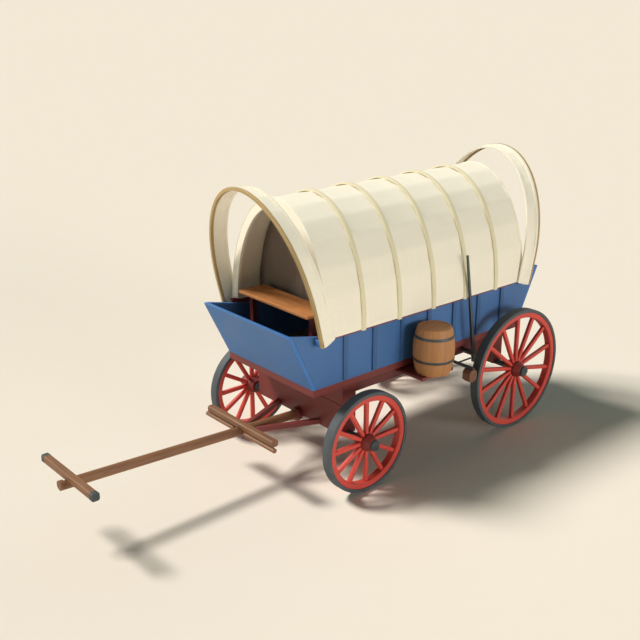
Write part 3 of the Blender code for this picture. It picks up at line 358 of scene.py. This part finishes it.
class Shape:
    """A bmesh whose points carry a grain coordinate, with faces in numbered materials."""

    def __init__(self):
        self.mesh = bmesh.new()
        self.layer = self.mesh.verts.layers.float_vector.new("grain")

    def vert(self, point, grain=None):
        made = self.mesh.verts.new(point)
        made[self.layer] = Vector(grain if grain is not None else point)
        return made

    def face(self, verts, slot=0, smooth=True):
        made = self.mesh.faces.new(verts)
        made.material_index = slot
        made.smooth = smooth
        return made

    def skin(self, rows, around=False, slot=0, smooth=True, close=False):
        """Faces between rows of verts. around joins each row's ends, close joins last row and first."""
        pairs = list(zip(rows, rows[1:])) + ([(rows[-1], rows[0])] if close else [])
        for one, other in pairs:
            last = len(one) if around else len(one) - 1
            for i in range(last):
                j = (i + 1) % len(one)
                self.face((one[i], one[j], other[j], other[i]), slot, smooth)

    def turned(self, profile, segments, axis="X", centre=(0, 0, 0), start=0.0):
        """A closed profile of (along, radius) turned about an axis. Grain runs along the axis."""
        rows = []
        for place, radius in profile:
            row = []
            for i in range(segments):
                turn = start + math.tau * i / segments
                flat = (radius * math.cos(turn), radius * math.sin(turn))
                point = (place, *flat) if axis == "X" else (*flat, place)
                row.append(self.vert(Vector(centre) + Vector(point), (turn * 0.2, radius, place)))
            rows.append(row)
        self.skin(rows, True, close=True)

    def block(self, low, high, cut):
        """A box with rounded edges and corners, each side of three faces by three."""
        verts = {}

        def corner(key):
            if key not in verts:
                out = Vector([(-1, 0, 0, 1)[step] for step in key]).normalized()
                inner = Vector([b - cut if step > 1 else a + cut for a, b, step in zip(low, high, key)])
                verts[key] = self.vert(inner + out * cut)
            return verts[key]

        for end in (0, 3):
            for i in range(3):
                for j in range(3):
                    ring = [(end, i, j), (end, i + 1, j), (end, i + 1, j + 1), (end, i, j + 1)]
                    for axis in range(3):
                        keys = [key[axis:] + key[:axis] for key in ring]
                        self.face([corner(key) for key in keys], smooth=False)

    def dome(self, centre, normal, radius, height, slot=0):
        """A low round bolt head on a surface."""
        normal = Vector(normal).normalized()
        across = normal.orthogonal().normalized()
        other = normal.cross(across)
        sides = 10
        rows = []
        for share, up in ((1.0, -0.2), (1.0, 0.35), (0.8, 0.75), (0.45, 0.95)):
            rows.append([self.vert(Vector(centre) + normal * height * up
                                   + (across * math.cos(a) + other * math.sin(a)) * radius * share)
                         for a in (math.tau * k / sides for k in range(sides))])
        self.skin(rows, True, slot)
        self.face(rows[-1], slot)

    def area(self):
        return sum(face.calc_area() for face in self.mesh.faces)

    def link(self, name, materials, sharp=35):
        """The finished mesh as an object of the scene."""
        bmesh.ops.recalc_face_normals(self.mesh, faces=self.mesh.faces)
        mesh = bpy.data.meshes.new(name)
        self.mesh.to_mesh(mesh)
        self.mesh.free()
        mesh.set_sharp_from_angle(angle=math.radians(sharp))
        for material in materials:
            mesh.materials.append(material)
        obj = bpy.data.objects.new(name, mesh)
        bpy.context.scene.collection.objects.link(obj)
        return obj

    def object(self, name, materials, body, origin=(0, 0, 0), replaces=(), sharp=35):
        """A piece of the wagon that rides on a body and may stand for solids of the frame."""
        obj = self.link(name, materials, sharp)
        obj.location = origin
        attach(obj, body)
        if replaces:
            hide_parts(*replaces)
        return obj


def soften(obj, width, segments):
    """Rounds the sharp edges of a piece without touching its own mesh."""
    weld = obj.modifiers.new("Weld", "WELD")
    weld.merge_threshold = 0.00002
    bevel = obj.modifiers.new("Bevel", "BEVEL")
    bevel.width = width
    bevel.segments = segments
    bevel.limit_method = "ANGLE"
    bevel.angle_limit = math.radians(32)
    bevel.use_clamp_overlap = True


def thicken(obj, depth):
    """Gives a sheet its depth, against its faces' normals."""
    solid = obj.modifiers.new("Thickness", "SOLIDIFY")
    solid.thickness = depth
    solid.offset = -1
    solid.use_even_offset = True


def dress(names, material, width, segments=2):
    """Gives solids of the frame a material and soft edges."""
    for name in names:
        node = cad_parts[name]
        for slot in node.material_slots:
            slot.link = "OBJECT"
            slot.material = material
        soften(node, width, segments)


# Canvas

def arch_path(half_width, foot_z, spring_z, top_z):
    """Points (x, z, normal x, normal z, length so far) from the near foot over the top to the far."""
    points = []
    rise = top_z - spring_z
    wall = [foot_z + (spring_z - foot_z) * i / WALL_STEPS for i in range(WALL_STEPS)]
    points += [(half_width, z, 1.0, 0.0) for z in wall]
    for i in range(ARCH_STEPS + 1):
        turn = math.pi * i / ARCH_STEPS
        normal = Vector((rise * math.cos(turn), half_width * math.sin(turn))).normalized()
        x, z = half_width * math.cos(turn), spring_z + rise * math.sin(turn)
        points.append((x, z, normal.x, normal.y))
    points += [(-half_width, z, -1.0, 0.0) for z in reversed(wall)]
    made, length = [], 0.0
    for i, point in enumerate(points):
        if i:
            length += math.dist(point[:2], points[i - 1][:2])
        made.append((*point, length))
    return made


def between(one, other, share):
    """The path part of the way from one path to another."""
    return [tuple(a + (b - a) * share for a, b in zip(p, q)) for p, q in zip(one, other)]


def cover_path(foot_z):
    """The cover's arch, with its walls down to a height."""
    return arch_path(COVER_X, foot_z, SPRING_Z, COVER_TOP_Z)


def facet_pull(index, half_width, rise):
    """How far the cloth lies in from the true arch, drawn tight between two lengthwise seams."""
    turn = math.pi * min(max(index - WALL_STEPS, 0), ARCH_STEPS) / ARCH_STEPS
    turn = min(turn, math.pi - turn)
    for low, high in zip(SEAM_TURNS, SEAM_TURNS[1:]):
        if low <= turn <= high:
            share = (turn - low) / (high - low)
            flat = rise * math.sin(turn) ** 2 + half_width * math.cos(turn) ** 2
            return 0.5 * flat * share * (1 - share) * (high - low) ** 2
    return 0.0


def sheet_rows(shape, lines, tightness):
    """Rows of points over (path, y, slack, lean) lines, with the cloth drawn in between its seams."""
    rows = []
    for path, y, slack, lean in lines:
        half_width, rise = path[0][0], max(point[1] for point in path) - path[WALL_STEPS][1]
        row = []
        for index, (x, z, normal_x, normal_z, length) in enumerate(path):
            pull = slack * min(1.0, (z - path[0][1]) / SLACK_HEIGHT)
            pull += tightness * facet_pull(index, half_width, rise)
            place = at(x - normal_x * pull, y + lean * (z - BONNET_FOOT_Z), z - normal_z * pull)
            row.append(shape.vert(place, (y, length, 0)))
        rows.append(row)
    return rows


def build_cover():
    """The cover: one sheet over the bows, a little slack between them and flatter between its seams."""
    path = cover_path(COVER_FOOT_Z)
    lines = []
    edges = [COVER_LOW_Y] + HOOPS_Y + [COVER_HIGH_Y]
    for low, high in zip(edges, edges[1:]):
        steps = max(4, round((high - low) / COVER_PITCH))
        inside = low in HOOPS_Y and high in HOOPS_Y
        for i in range(steps):
            slack = COVER_SLACK * math.sin(math.pi * i / steps) ** 2 if inside else 0.0
            lines.append((path, low + (high - low) * i / steps, slack, 0.0))
    lines.append((path, COVER_HIGH_Y, 0.0, 0.0))
    shape = Shape()
    shape.skin(sheet_rows(shape, lines, COVER_TIGHT))
    cover = shape.object("cover_sheet", [M["canvas"]], "wagon", replaces=["cover"])
    thicken(cover, CLOTH)
    return cover, (path[-1][4], COVER_HIGH_Y - COVER_LOW_Y)


def arch_strip(name, edges, low, high, material, crown, lean=0.0, replaces=()):
    """A strip along an arch, from low to high outwards, with its outer corners rounded by crown.

    edges holds the path and the Y of its two sides.
    """
    (path_0, y_0), (path_1, y_1) = edges
    rim = low + (high - low) * (1 - crown)
    brow = high - (high - low) * crown * 0.3
    section = [(0, low), (0, rim), (0.09, brow), (0.25, high)]
    section += [(1 - share, out) for share, out in reversed(section)]
    shape = Shape()
    rows = []
    for one, other in zip(path_0, path_1):
        row = []
        for share, out in section:
            x, z, normal_x, normal_z, length = (a + (b - a) * share for a, b in zip(one, other))
            y = y_0 + (y_1 - y_0) * share
            place = at(x + normal_x * out, y + lean * (z - BONNET_FOOT_Z), z + normal_z * out)
            row.append(shape.vert(place, (y, out, length)))
        rows.append(row)
    shape.skin(rows, True)
    for row in (rows[0], rows[-1]):
        shape.face(row, 0, False)
    return shape.object(name, [material], "wagon", replaces=replaces, sharp=50)


def build_hoop_bands():
    """The raised bands over the bows, and the bows themselves under the cloth."""
    outer = cover_path(SIDE_TOP_Z + 0.001)
    inner = cover_path(RAIL_TOP_Z + 0.0005)
    bands = []
    for number, y in enumerate(HOOPS_Y, 1):
        edges = ((outer, y - HOOP_WIDTH / 2), (outer, y + HOOP_WIDTH / 2))
        band = f"cover_band_{number}"
        bands.append(arch_strip(band, edges, -CLOTH, HOOP_HEIGHT, M["band"], 0.45))
        edges = ((inner, y - BOW_WIDTH / 2), (inner, y + BOW_WIDTH / 2))
        arch_strip(f"bow_wood_{number}", edges, -BOW_INSIDE, -CLOTH - 2 * GAP, M["bow"],
                   0.25, replaces=[f"bow_{number}"])
    return bands


def build_hems():
    """Doubled cloth along the cover's feet, and the thick rolled edge round its two ends."""
    hems = []
    columns = 101
    pitch = (COVER_HIGH_Y - COVER_LOW_Y) / (columns - 1)
    foot = COVER_FOOT_Z + 0.0001
    for name, side in (("near", 1), ("far", -1)):
        shape = Shape()
        rows = []
        for up, out in HEM_OUTLINE:
            z = foot + up
            rows.append([shape.vert(at(side * (COVER_X + out), COVER_LOW_Y + i * pitch, z),
                                    (i * pitch, z + out, 0)) for i in range(columns)])
        shape.skin(rows, close=True)
        for end in (0, -1):
            shape.face([row[end] for row in rows], 0, False)
        hems.append(shape.object(f"cover_hem_{name}", [M["canvas"]], "wagon", sharp=50))
    path = cover_path(SIDE_TOP_Z)[WALL_STEPS:-WALL_STEPS]
    for name, low in (("front", COVER_LOW_Y), ("rear", COVER_HIGH_Y - RIM_WIDTH)):
        edges = ((path, low), (path, low + RIM_WIDTH))
        rim = f"cover_rim_{name}"
        hems.append(arch_strip(rim, edges, -RIM_DEPTH, -HEM_LIFT, M["canvas"], 0.30))
    return hems


def bonnet_path(share, lift=0.0):
    """A bonnet's arch at a share of the way from its bow's outer edge, 0, to its inner edge, 1."""
    edge, inside = (arch_path(half, BONNET_FOOT_Z + lift, BONNET_SPRING_Z, top)
                    for half, top in (BONNET_EDGE, BONNET_INSIDE))
    return between(edge, inside, share)


def foot_lift(share):
    """How much higher the bonnet's lower edge is than its bow's foot."""
    return BONNET_RISE * share ** 1.5


def band_path(share):
    """The canvas band's arch at a share of the way from its bow, 0, to its inner edge, 1."""
    return bonnet_path(END_BOW_SHARE + (1 - END_BOW_SHARE) * share, foot_lift(share))


def build_bonnets():
    """The leaning band at each end with its hems, and the wooden bow that carries it."""
    made = []
    for name, foot_y, way in (("front", BOW_FOOT_FRONT, -1), ("rear", BOW_FOOT_REAR, 1)):
        lean = way * BONNET_LEAN
        lines = []
        count = 12
        for i in range(count + 1):
            along_band = i / count
            path = band_path(along_band)
            slack = BONNET_SLACK * math.sin(math.pi * along_band)
            lines.append((path, foot_y - way * BONNET_BAND * along_band, slack, lean))
        shape = Shape()
        shape.skin(sheet_rows(shape, lines, BONNET_TIGHT))
        sheet = shape.object(f"{name}_bonnet_sheet", [M["canvas"]], "wagon",
                             replaces=[f"{name}_bonnet"])
        thicken(sheet, CLOTH)
        hems = []
        for part, start, end in (("outer", 0.0, 0.19), ("inner", 0.83, 1.0)):
            edges = [(band_path(s), foot_y - way * BONNET_BAND * s) for s in (start, end)]
            hem = f"{name}_bonnet_hem_{part}"
            hems.append(arch_strip(hem, edges, -5 * CLOTH, HEM_LIFT, M["canvas"], 0.08,
                                   lean=lean))
        bow = f"{name}_bow_wood"
        made.append((sheet, hems, (path[-1][4], BONNET_BAND), bow))
        seat, outer = foot_y + way * GAP, foot_y + way * (END_BOW_WIDTH + GAP)
        edges = ((bonnet_path(END_BOW_SHARE), seat), (bonnet_path(0.0), outer))
        arch_strip(bow, edges, -END_BOW_DEPTH, -GAP, M["bow"], 0.2, lean=lean,
                   replaces=[f"{name}_bow"])
        build_bow_feet(name, seat, outer, lean)
    return made


def build_bow_feet(name, seat, outer, lean):
    """The blocks that carry an end bow on the body's side, each with its bolt."""
    feet = Shape()
    low_y, high_y = sorted((seat, outer))
    bolt_up = 0.03
    for side in (1, -1):
        low_x, high_x = sorted((side * (BODY_X + 2 * GAP), side * (BONNET_EDGE[0] - 0.018)))
        feet.block(at(low_x, low_y + 0.001, BONNET_FOOT_Z),
                   at(high_x, high_y - 0.001, BONNET_FOOT_Z + BOW_BLOCK_HEIGHT), 0.003)
        bolt = at(side * (BONNET_EDGE[0] - 0.0035), (seat + outer) / 2 + lean * bolt_up,
                  BONNET_FOOT_Z + bolt_up)
        feet.dome(bolt, (side, 0, 0), 0.008, 0.003, 1)
    feet.object(f"{name}_bow_feet", [M["blue_y"], M["iron"]], "wagon")


def build_curtain():
    """The dark cloth behind the seat, hung from the first bow in soft folds down to the rails."""
    foot = RAIL_TOP_Z + 0.001
    inside = COVER_X - CURTAIN_INSIDE
    rise = COVER_TOP_Z - SPRING_Z - CURTAIN_INSIDE
    columns, steps = 150, 36
    xs = [-inside + 2 * inside * i / columns for i in range(columns + 1)]

    def fold(x, z):
        depth = CURTAIN_FOLD * min(1.0, 0.35 + (COVER_TOP_Z - z) / 1.2)
        sway = 0.35 * math.sin(z * 2.1) + 0.2 * math.sin(z * 5.3 + 1.0)
        return depth * (math.sin(x * 46 + sway) + 0.35 * math.sin(x * 83 + 2 * sway))

    shape = Shape()
    rows = []
    for k in range(steps + 1):
        row = []
        for x in xs:
            top = SPRING_Z + rise * math.sqrt(max(0.0, 1 - (x / (inside + 0.001)) ** 2))
            z = foot + (top - foot) * k / steps
            row.append(shape.vert(at(x, CURTAIN_Y + fold(x, z), z), (x, z, 0)))
        rows.append(row)
    shape.skin(rows)
    width = sum((one.co - other.co).length for one, other in zip(rows[0], rows[0][1:]))
    area = shape.area()
    curtain = shape.object("curtain_sheet", [M["curtain"]], "wagon",
                           replaces=["curtain"])
    thicken(curtain, CURTAIN_CLOTH)
    return curtain, (width, SPRING_Z + rise - foot), area


# Wheels

def build_felloes(wood, rim, inside, spokes):
    """The rim, in bent lengths that each take two spokes."""
    half = FELLOE_WIDTH / 2
    felloes, steps = spokes // 2, 16
    gap = 0.0007 / rim
    section = ((-half, rim - 0.004), (-half + 0.003, rim - 0.0008), (half - 0.003, rim - 0.0008),
               (half, rim - 0.004), (half, inside + 0.008), (half - 0.008, inside),
               (-half + 0.008, inside), (-half, inside + 0.008))
    for k in range(felloes):
        start = math.tau * k / felloes + math.pi / spokes + gap
        reach = math.tau / felloes - 2 * gap
        rows = []
        for i in range(steps + 1):
            turn = start + reach * i / steps
            rows.append([wood.vert((x, r * math.sin(turn), r * math.cos(turn)), (x, r, turn * rim))
                         for x, r in section])
        wood.skin(rows, True)
        for row in (rows[0], rows[-1]):
            wood.face(row, 0, False)


def build_spokes(wood, inside, spokes):
    """Squarish spokes with rounded corners, a little narrower where they crowd round the hub."""
    sides = 16
    crowded = 0.93 * math.pi * SPOKE_ROOT / spokes
    reach = inside + 0.004 - SPOKE_ROOT
    # Share of the way out, half depth along the axle and half width
    taper = ((0.0, 0.0235, crowded), (0.08, 0.0235, crowded), (0.22, 0.0225, 0.0205),
             (0.5, 0.0220, 0.0215), (0.90, 0.0215, 0.0225), (0.96, 0.0210, 0.0218),
             (1.0, 0.020, 0.0205))
    for k in range(spokes):
        turn = Matrix.Rotation(math.tau * k / spokes, 3, "X")
        rows = []
        for share, deep, wide in taper:
            row = []
            for i in range(sides):
                a = math.tau * (i + 0.5) / sides
                x = deep * math.copysign(abs(math.cos(a)) ** 0.55, math.cos(a))
                s = wide * math.copysign(abs(math.sin(a)) ** 0.55, math.sin(a))
                away = SPOKE_ROOT + reach * share
                row.append(wood.vert(turn @ Vector((x, s, away)), (x + k * 0.31, s, away)))
            rows.append(row)
        wood.skin(rows, True)
        for row in (rows[0], rows[-1]):
            wood.face(row, 0, False)


def build_wheel(name, body, side, y, radius, spokes):
    """One wheel: felloes and spokes in one piece, the turned hub and the tyre."""
    hub_at = at(side * WHEEL_X, y, radius)
    rim = radius - (TYRE_DEPTH + GAP)
    inside = rim - FELLOE_DEPTH
    wood = Shape()
    build_felloes(wood, rim, inside, spokes)
    build_spokes(wood, inside, spokes)
    wood.object(f"wheel_wood_{name}", [M["wheel"]], body, hub_at,
                replaces=[f"wheel_{name}"])
    hub = Shape()
    profile = [(-0.10, HUB_BORE), (-0.10, 0.060), (-0.0985, 0.0640), (-0.094, 0.0660), (-0.070, 0.0745),
               (-0.052, 0.0825), (-0.045, 0.0848), (-0.040, 0.085), (0.040, 0.085), (0.045, 0.0848),
               (0.052, 0.0818), (0.070, 0.0745), (0.100, 0.0622), (0.1065, 0.0590), (0.1092, 0.0560),
               (0.11, 0.052), (0.11, HUB_BORE)]
    hub.turned([(side * x, r) for x, r in profile], 56)
    hub.object(f"hub_{name}", [M["hub"]], body, hub_at)
    tyre = Shape()
    half = TYRE_WIDTH / 2
    segments = 144
    profile = [(-half, rim + GAP), (-half, radius - 0.007), (-half + 0.002, radius - 0.003),
               (-half + 0.006, radius - 0.0006), (-half + 0.012, radius)]
    profile += [(-x, r) for x, r in reversed(profile)]
    tyre.turned(profile, segments, start=math.pi / segments)
    tyre.object(f"tyre_iron_{name}", [M["tyre"]], body, hub_at, replaces=[f"tyre_{name}"])


def build_wheels():
    """The four wheels, each on its own body."""
    for end, y, radius, spokes in WHEEL_PAIRS:
        for flank, side in (("near", 1), ("far", -1)):
            build_wheel(f"{end}_{flank}", f"{end}_{flank}_wheel", side, y, radius, spokes)


# Barrel

def barrel_radius(z):
    """The staves' outer radius at a height from the barrel's middle."""
    share = z / BARREL_HALF
    return BARREL_RADIUS - (BARREL_RADIUS - BARREL_END_RADIUS) * share * share


def build_staves():
    """The barrel's wall, of staves that show only as fine lines, with rounded rims."""
    staves, per, levels = 20, 8, 28
    half, end = BARREL_HALF, BARREL_END_RADIUS
    rim = [(half - 0.012, end - 0.0190), (half - 0.003, end - 0.0185), (half, end - 0.0150),
           (half, end - 0.0055), (half - 0.002, end - 0.0015)]
    wall = [half * (1 - 2 * i / levels) for i in range(1, levels)]
    profile = rim + [(z, barrel_radius(z)) for z in wall] + [(-z, r) for z, r in reversed(rim)]
    offsets = [RANDOM.uniform(0, 9) for _ in range(staves)]
    shape = Shape()
    rows = []
    for z, radius in profile:
        row = []
        for i in range(staves * per):
            within = (i % per) / per
            swell = 0.0005 * math.sin(math.pi * within) - (0.0010 if i % per == 0 else 0.0005)
            turn = math.tau * i / (staves * per)
            away = radius + (swell if abs(z) < half - 0.001 else 0.0)
            place = BARREL_AT + Vector((away * math.cos(turn), away * math.sin(turn), z))
            row.append(shape.vert(at(*place), (turn * 0.2, offsets[i // per], z + offsets[i // per])))
        rows.append(row)
    shape.skin(rows, True)
    shape.object("barrel_staves", [M["stave"]], "wagon", replaces=["barrel"], sharp=30)


def build_heads():
    """The planked round heads, sunk a little below the staves' ends."""
    heads = Shape()
    planks, steps, reach, joint = 5, 10, 0.1492, 0.0006
    faces = (BARREL_HALF - 0.005, BARREL_HALF - 0.011)  # heights of a head's two faces
    for side in (1, -1):
        for k in range(planks):
            x_0 = -reach + 2 * reach * k / planks + joint
            x_1 = -reach + 2 * reach * (k + 1) / planks - joint
            xs = [x_0 + (x_1 - x_0) * i / steps for i in range(steps + 1)]
            outline = [(x, math.sqrt(reach * reach - x * x)) for x in xs]
            outline += [(x, -y) for x, y in reversed(outline)]
            top, back = (
                [heads.vert(at(*(BARREL_AT + Vector((x, y, side * z)))), (x + k, y, k))
                 for x, y in outline]
                for z in faces
            )
            heads.skin([top, back], True, smooth=False)
            heads.face(top, 0, False)
            heads.face(back, 0, False)
    heads.object("barrel_heads", [M["head"]], "wagon")


def build_barrel_bands():
    """The two iron hoops, riveted where their ends overlap."""
    half = BARREL_HOOP_WIDTH / 2
    outline = ((-half, 0.0002), (-half, 0.0036), (-half + 0.002, 0.0046), (half - 0.002, 0.0046),
               (half, 0.0036), (half, 0.0002))
    overlap = math.radians(-75)
    for name, middle in BARREL_HOOPS:
        hoop = Shape()
        ring = [(middle + up, barrel_radius(middle + up) + out) for up, out in outline]
        hoop.turned(ring, 96, "Z", at(*BARREL_AT))
        away = barrel_radius(middle) + 0.0044
        for turn in (overlap - 0.05, overlap + 0.05):
            way = Vector((math.cos(turn), math.sin(turn), 0))
            hoop.dome(at(*(BARREL_AT + way * away + Vector((0, 0, middle)))), way, 0.0045, 0.0022)
        hoop.object(f"barrel_band_{name}", [M["iron"]], "wagon",
                    replaces=[f"barrel_hoop_{name}"])


# Bolts and caps, and the looks of the solids that stay as they are

def build_bolts():
    """Painted bolt heads on the ribs."""
    bolts = Shape()
    for side in (1, -1):
        for i in range(RIBS):
            y = RIB_MIDDLE + (i - RIBS // 2) * RIB_SPACING
            for z in RIB_BOLTS_Z:
                bolts.dome(at(side * (BODY_X + RIB_DEPTH), y, z), (side, 0, 0), 0.007, 0.0035)
    bolts.object("rib_bolts", [M["blue_y"]], "wagon")


def build_yoke_caps():
    """Dark iron caps over the neck yoke's ends."""
    caps = Shape()
    low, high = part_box("neck_yoke")
    mid_y, mid_z = (low.y + high.y) / 2, high.z - YOKE_HALF
    cut = 0.012
    for side in (1, -1):
        end = (high if side > 0 else low).x
        rows = []
        for out, half in ((-0.045, 0.0355), (-0.044, 0.0369), (-0.001, 0.0369), (0.001, 0.0350)):
            ring = [(half - cut, -half), (half, -half + cut), (half, half - cut), (half - cut, half)]
            ring += [(-a, -b) for a, b in ring]
            rows.append([caps.vert((end + side * out, mid_y + a, mid_z + b)) for a, b in ring])
        caps.skin(rows, True, smooth=False)
        caps.face(rows[-1], 0, False)
    caps.object("yoke_caps", [M["iron"]], "neck_yoke")


def dress_nodes():
    """Materials and rounded edges for the solids that no piece replaces."""
    nodes = sorted(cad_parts)
    # The end boards' lighter blue is painted light
    dress(["front_board", "rear_board"], M["blue_lit_x"], 0.003, 3)
    dress(["side_near", "side_far"], M["blue_shaded_ribs"], 0.003)
    dress(["bed_frame"], M["red_y"], 0.005)
    dress(["front_bolster", "rear_bolster", "front_axle_box"], M["red_x"], 0.005)
    # The side beams take the darkened red, painted shade
    dress([n for n in nodes if n.startswith("side_beam")], M["red_shaded_y"], 0.004)
    dress([n for n in nodes if n.startswith(("rail_", "hound_"))], M["red_y"], 0.004)
    dress(["reach_pole", "barrel_shelf", "tongue_socket"], M["red_y"], 0.004)
    dress(["seat_post_near", "seat_post_far"], M["red_z"], 0.004)
    dress(["seat_board"], M["seat"], 0.009, 3)
    dress(["floor_boards"], M["floor"], 0.002, 1)
    dress(["tongue"], M["pole_y"], 0.006)
    dress(["doubletree", "singletree_near", "singletree_far", "neck_yoke"], M["pole_x"], 0.004)
    dress(["brake_block_near", "brake_block_far"], M["block"], 0.003)
    dress([n for n in nodes if n.startswith("brake_") and "block" not in n], M["iron"], 0.002)
    dress(["front_axle", "rear_axle", "kingpin"], M["iron"], 0.003)


# Stage

def build_floor():
    """A plain floor, wide enough to reach past the picture on every side."""
    g = Graph("studio floor")
    grain = g.noise(g.place((1, 1, 1)), 3.0, 3, 0.5)
    colour = g.mix(g.range(grain, 0.3, 0.7, 0.0, 1.0), shade(FLOOR_TINT, 0.995), FLOOR_TINT)
    material = g.finish(colour, 0.95, grain, 0.02, 0.001, Specular_IOR_Level=0.0)
    shape = Shape()
    ends = (-FLOOR_REACH, FLOOR_REACH)
    shape.skin([[shape.vert((x, y, -0.0005)) for x in ends] for y in ends], smooth=False)
    shape.link("studio_floor", [material])


def build_world():
    """Soft light from all round. The camera, and gloss and glass, see the studio's own colour."""
    world = bpy.data.worlds.new("studio")
    bpy.context.scene.world = world
    world.use_nodes = True
    tree = world.node_tree
    light = tree.nodes["Background"]
    light.inputs["Color"].default_value = WORLD_TINT
    light.inputs["Strength"].default_value = WORLD_LIGHT
    shown = tree.nodes.new("ShaderNodeBackground")
    shown.inputs["Color"].default_value = (*STUDIO, 1)
    shown.inputs["Strength"].default_value = 1.0
    path = tree.nodes.new("ShaderNodeLightPath")
    seen = path.outputs["Is Camera Ray"]
    for kind in ("Is Glossy Ray", "Is Transmission Ray"):
        add = tree.nodes.new("ShaderNodeMath")
        add.operation = "MAXIMUM"
        tree.links.new(seen, add.inputs[0])
        tree.links.new(path.outputs[kind], add.inputs[1])
        seen = add.outputs["Value"]
    mix = tree.nodes.new("ShaderNodeMixShader")
    tree.links.new(seen, mix.inputs["Fac"])
    tree.links.new(light.outputs["Background"], mix.inputs[1])
    tree.links.new(shown.outputs["Background"], mix.inputs[2])
    tree.links.new(mix.outputs["Shader"], tree.nodes["World Output"].inputs["Surface"])


def sun(name, towards, strength, angle, colour):
    """A lamp whose light travels towards a direction."""
    lamp = bpy.data.lights.new(name, "SUN")
    lamp.energy = strength
    lamp.angle = math.radians(angle)
    lamp.color = colour
    obj = bpy.data.objects.new(name, lamp)
    bpy.context.scene.collection.objects.link(obj)
    obj.rotation_mode = "QUATERNION"
    obj.rotation_quaternion = Vector(towards).to_track_quat("-Z", "Y")


def build_lights():
    """A key light from above, and three broad ones that lighten the shaded sides."""
    for lamp in LAMPS:
        sun(*lamp)


def build_camera():
    """The camera of the front three-quarter view."""
    azimuth, elevation = math.radians(CAMERA_AZIMUTH), math.radians(CAMERA_ELEVATION)
    back = Vector((math.sin(azimuth) * math.cos(elevation), -math.cos(azimuth) * math.cos(elevation),
                   math.sin(elevation)))
    camera = bpy.data.objects.new("camera", bpy.data.cameras.new("camera"))
    bpy.context.scene.collection.objects.link(camera)
    camera.data.sensor_width = CAMERA_SENSOR
    camera.data.lens = CAMERA_FOCAL * CAMERA_SENSOR
    camera.data.clip_end = 1000.0
    camera.location = at(*CAMERA_AIM) + back * CAMERA_DISTANCE
    camera.rotation_mode = "QUATERNION"
    camera.rotation_quaternion = (-back).to_track_quat("-Z", "Y")
    bpy.context.scene.camera = camera


def main():
    """Builds the stage and every piece."""
    build_camera()
    build_floor()
    build_world()
    build_lights()
    dress_nodes()
    cover, cover_flat = build_cover()
    bands = build_hoop_bands()
    hems = build_hems()
    for sheet, edging, flat, bow in build_bonnets():
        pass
    curtain, curtain_flat, area = build_curtain()
    build_wheels()
    build_staves()
    build_heads()
    build_barrel_bands()
    build_bolts()
    build_yoke_caps()
    bpy.context.scene.view_settings.view_transform = "Standard"


main()
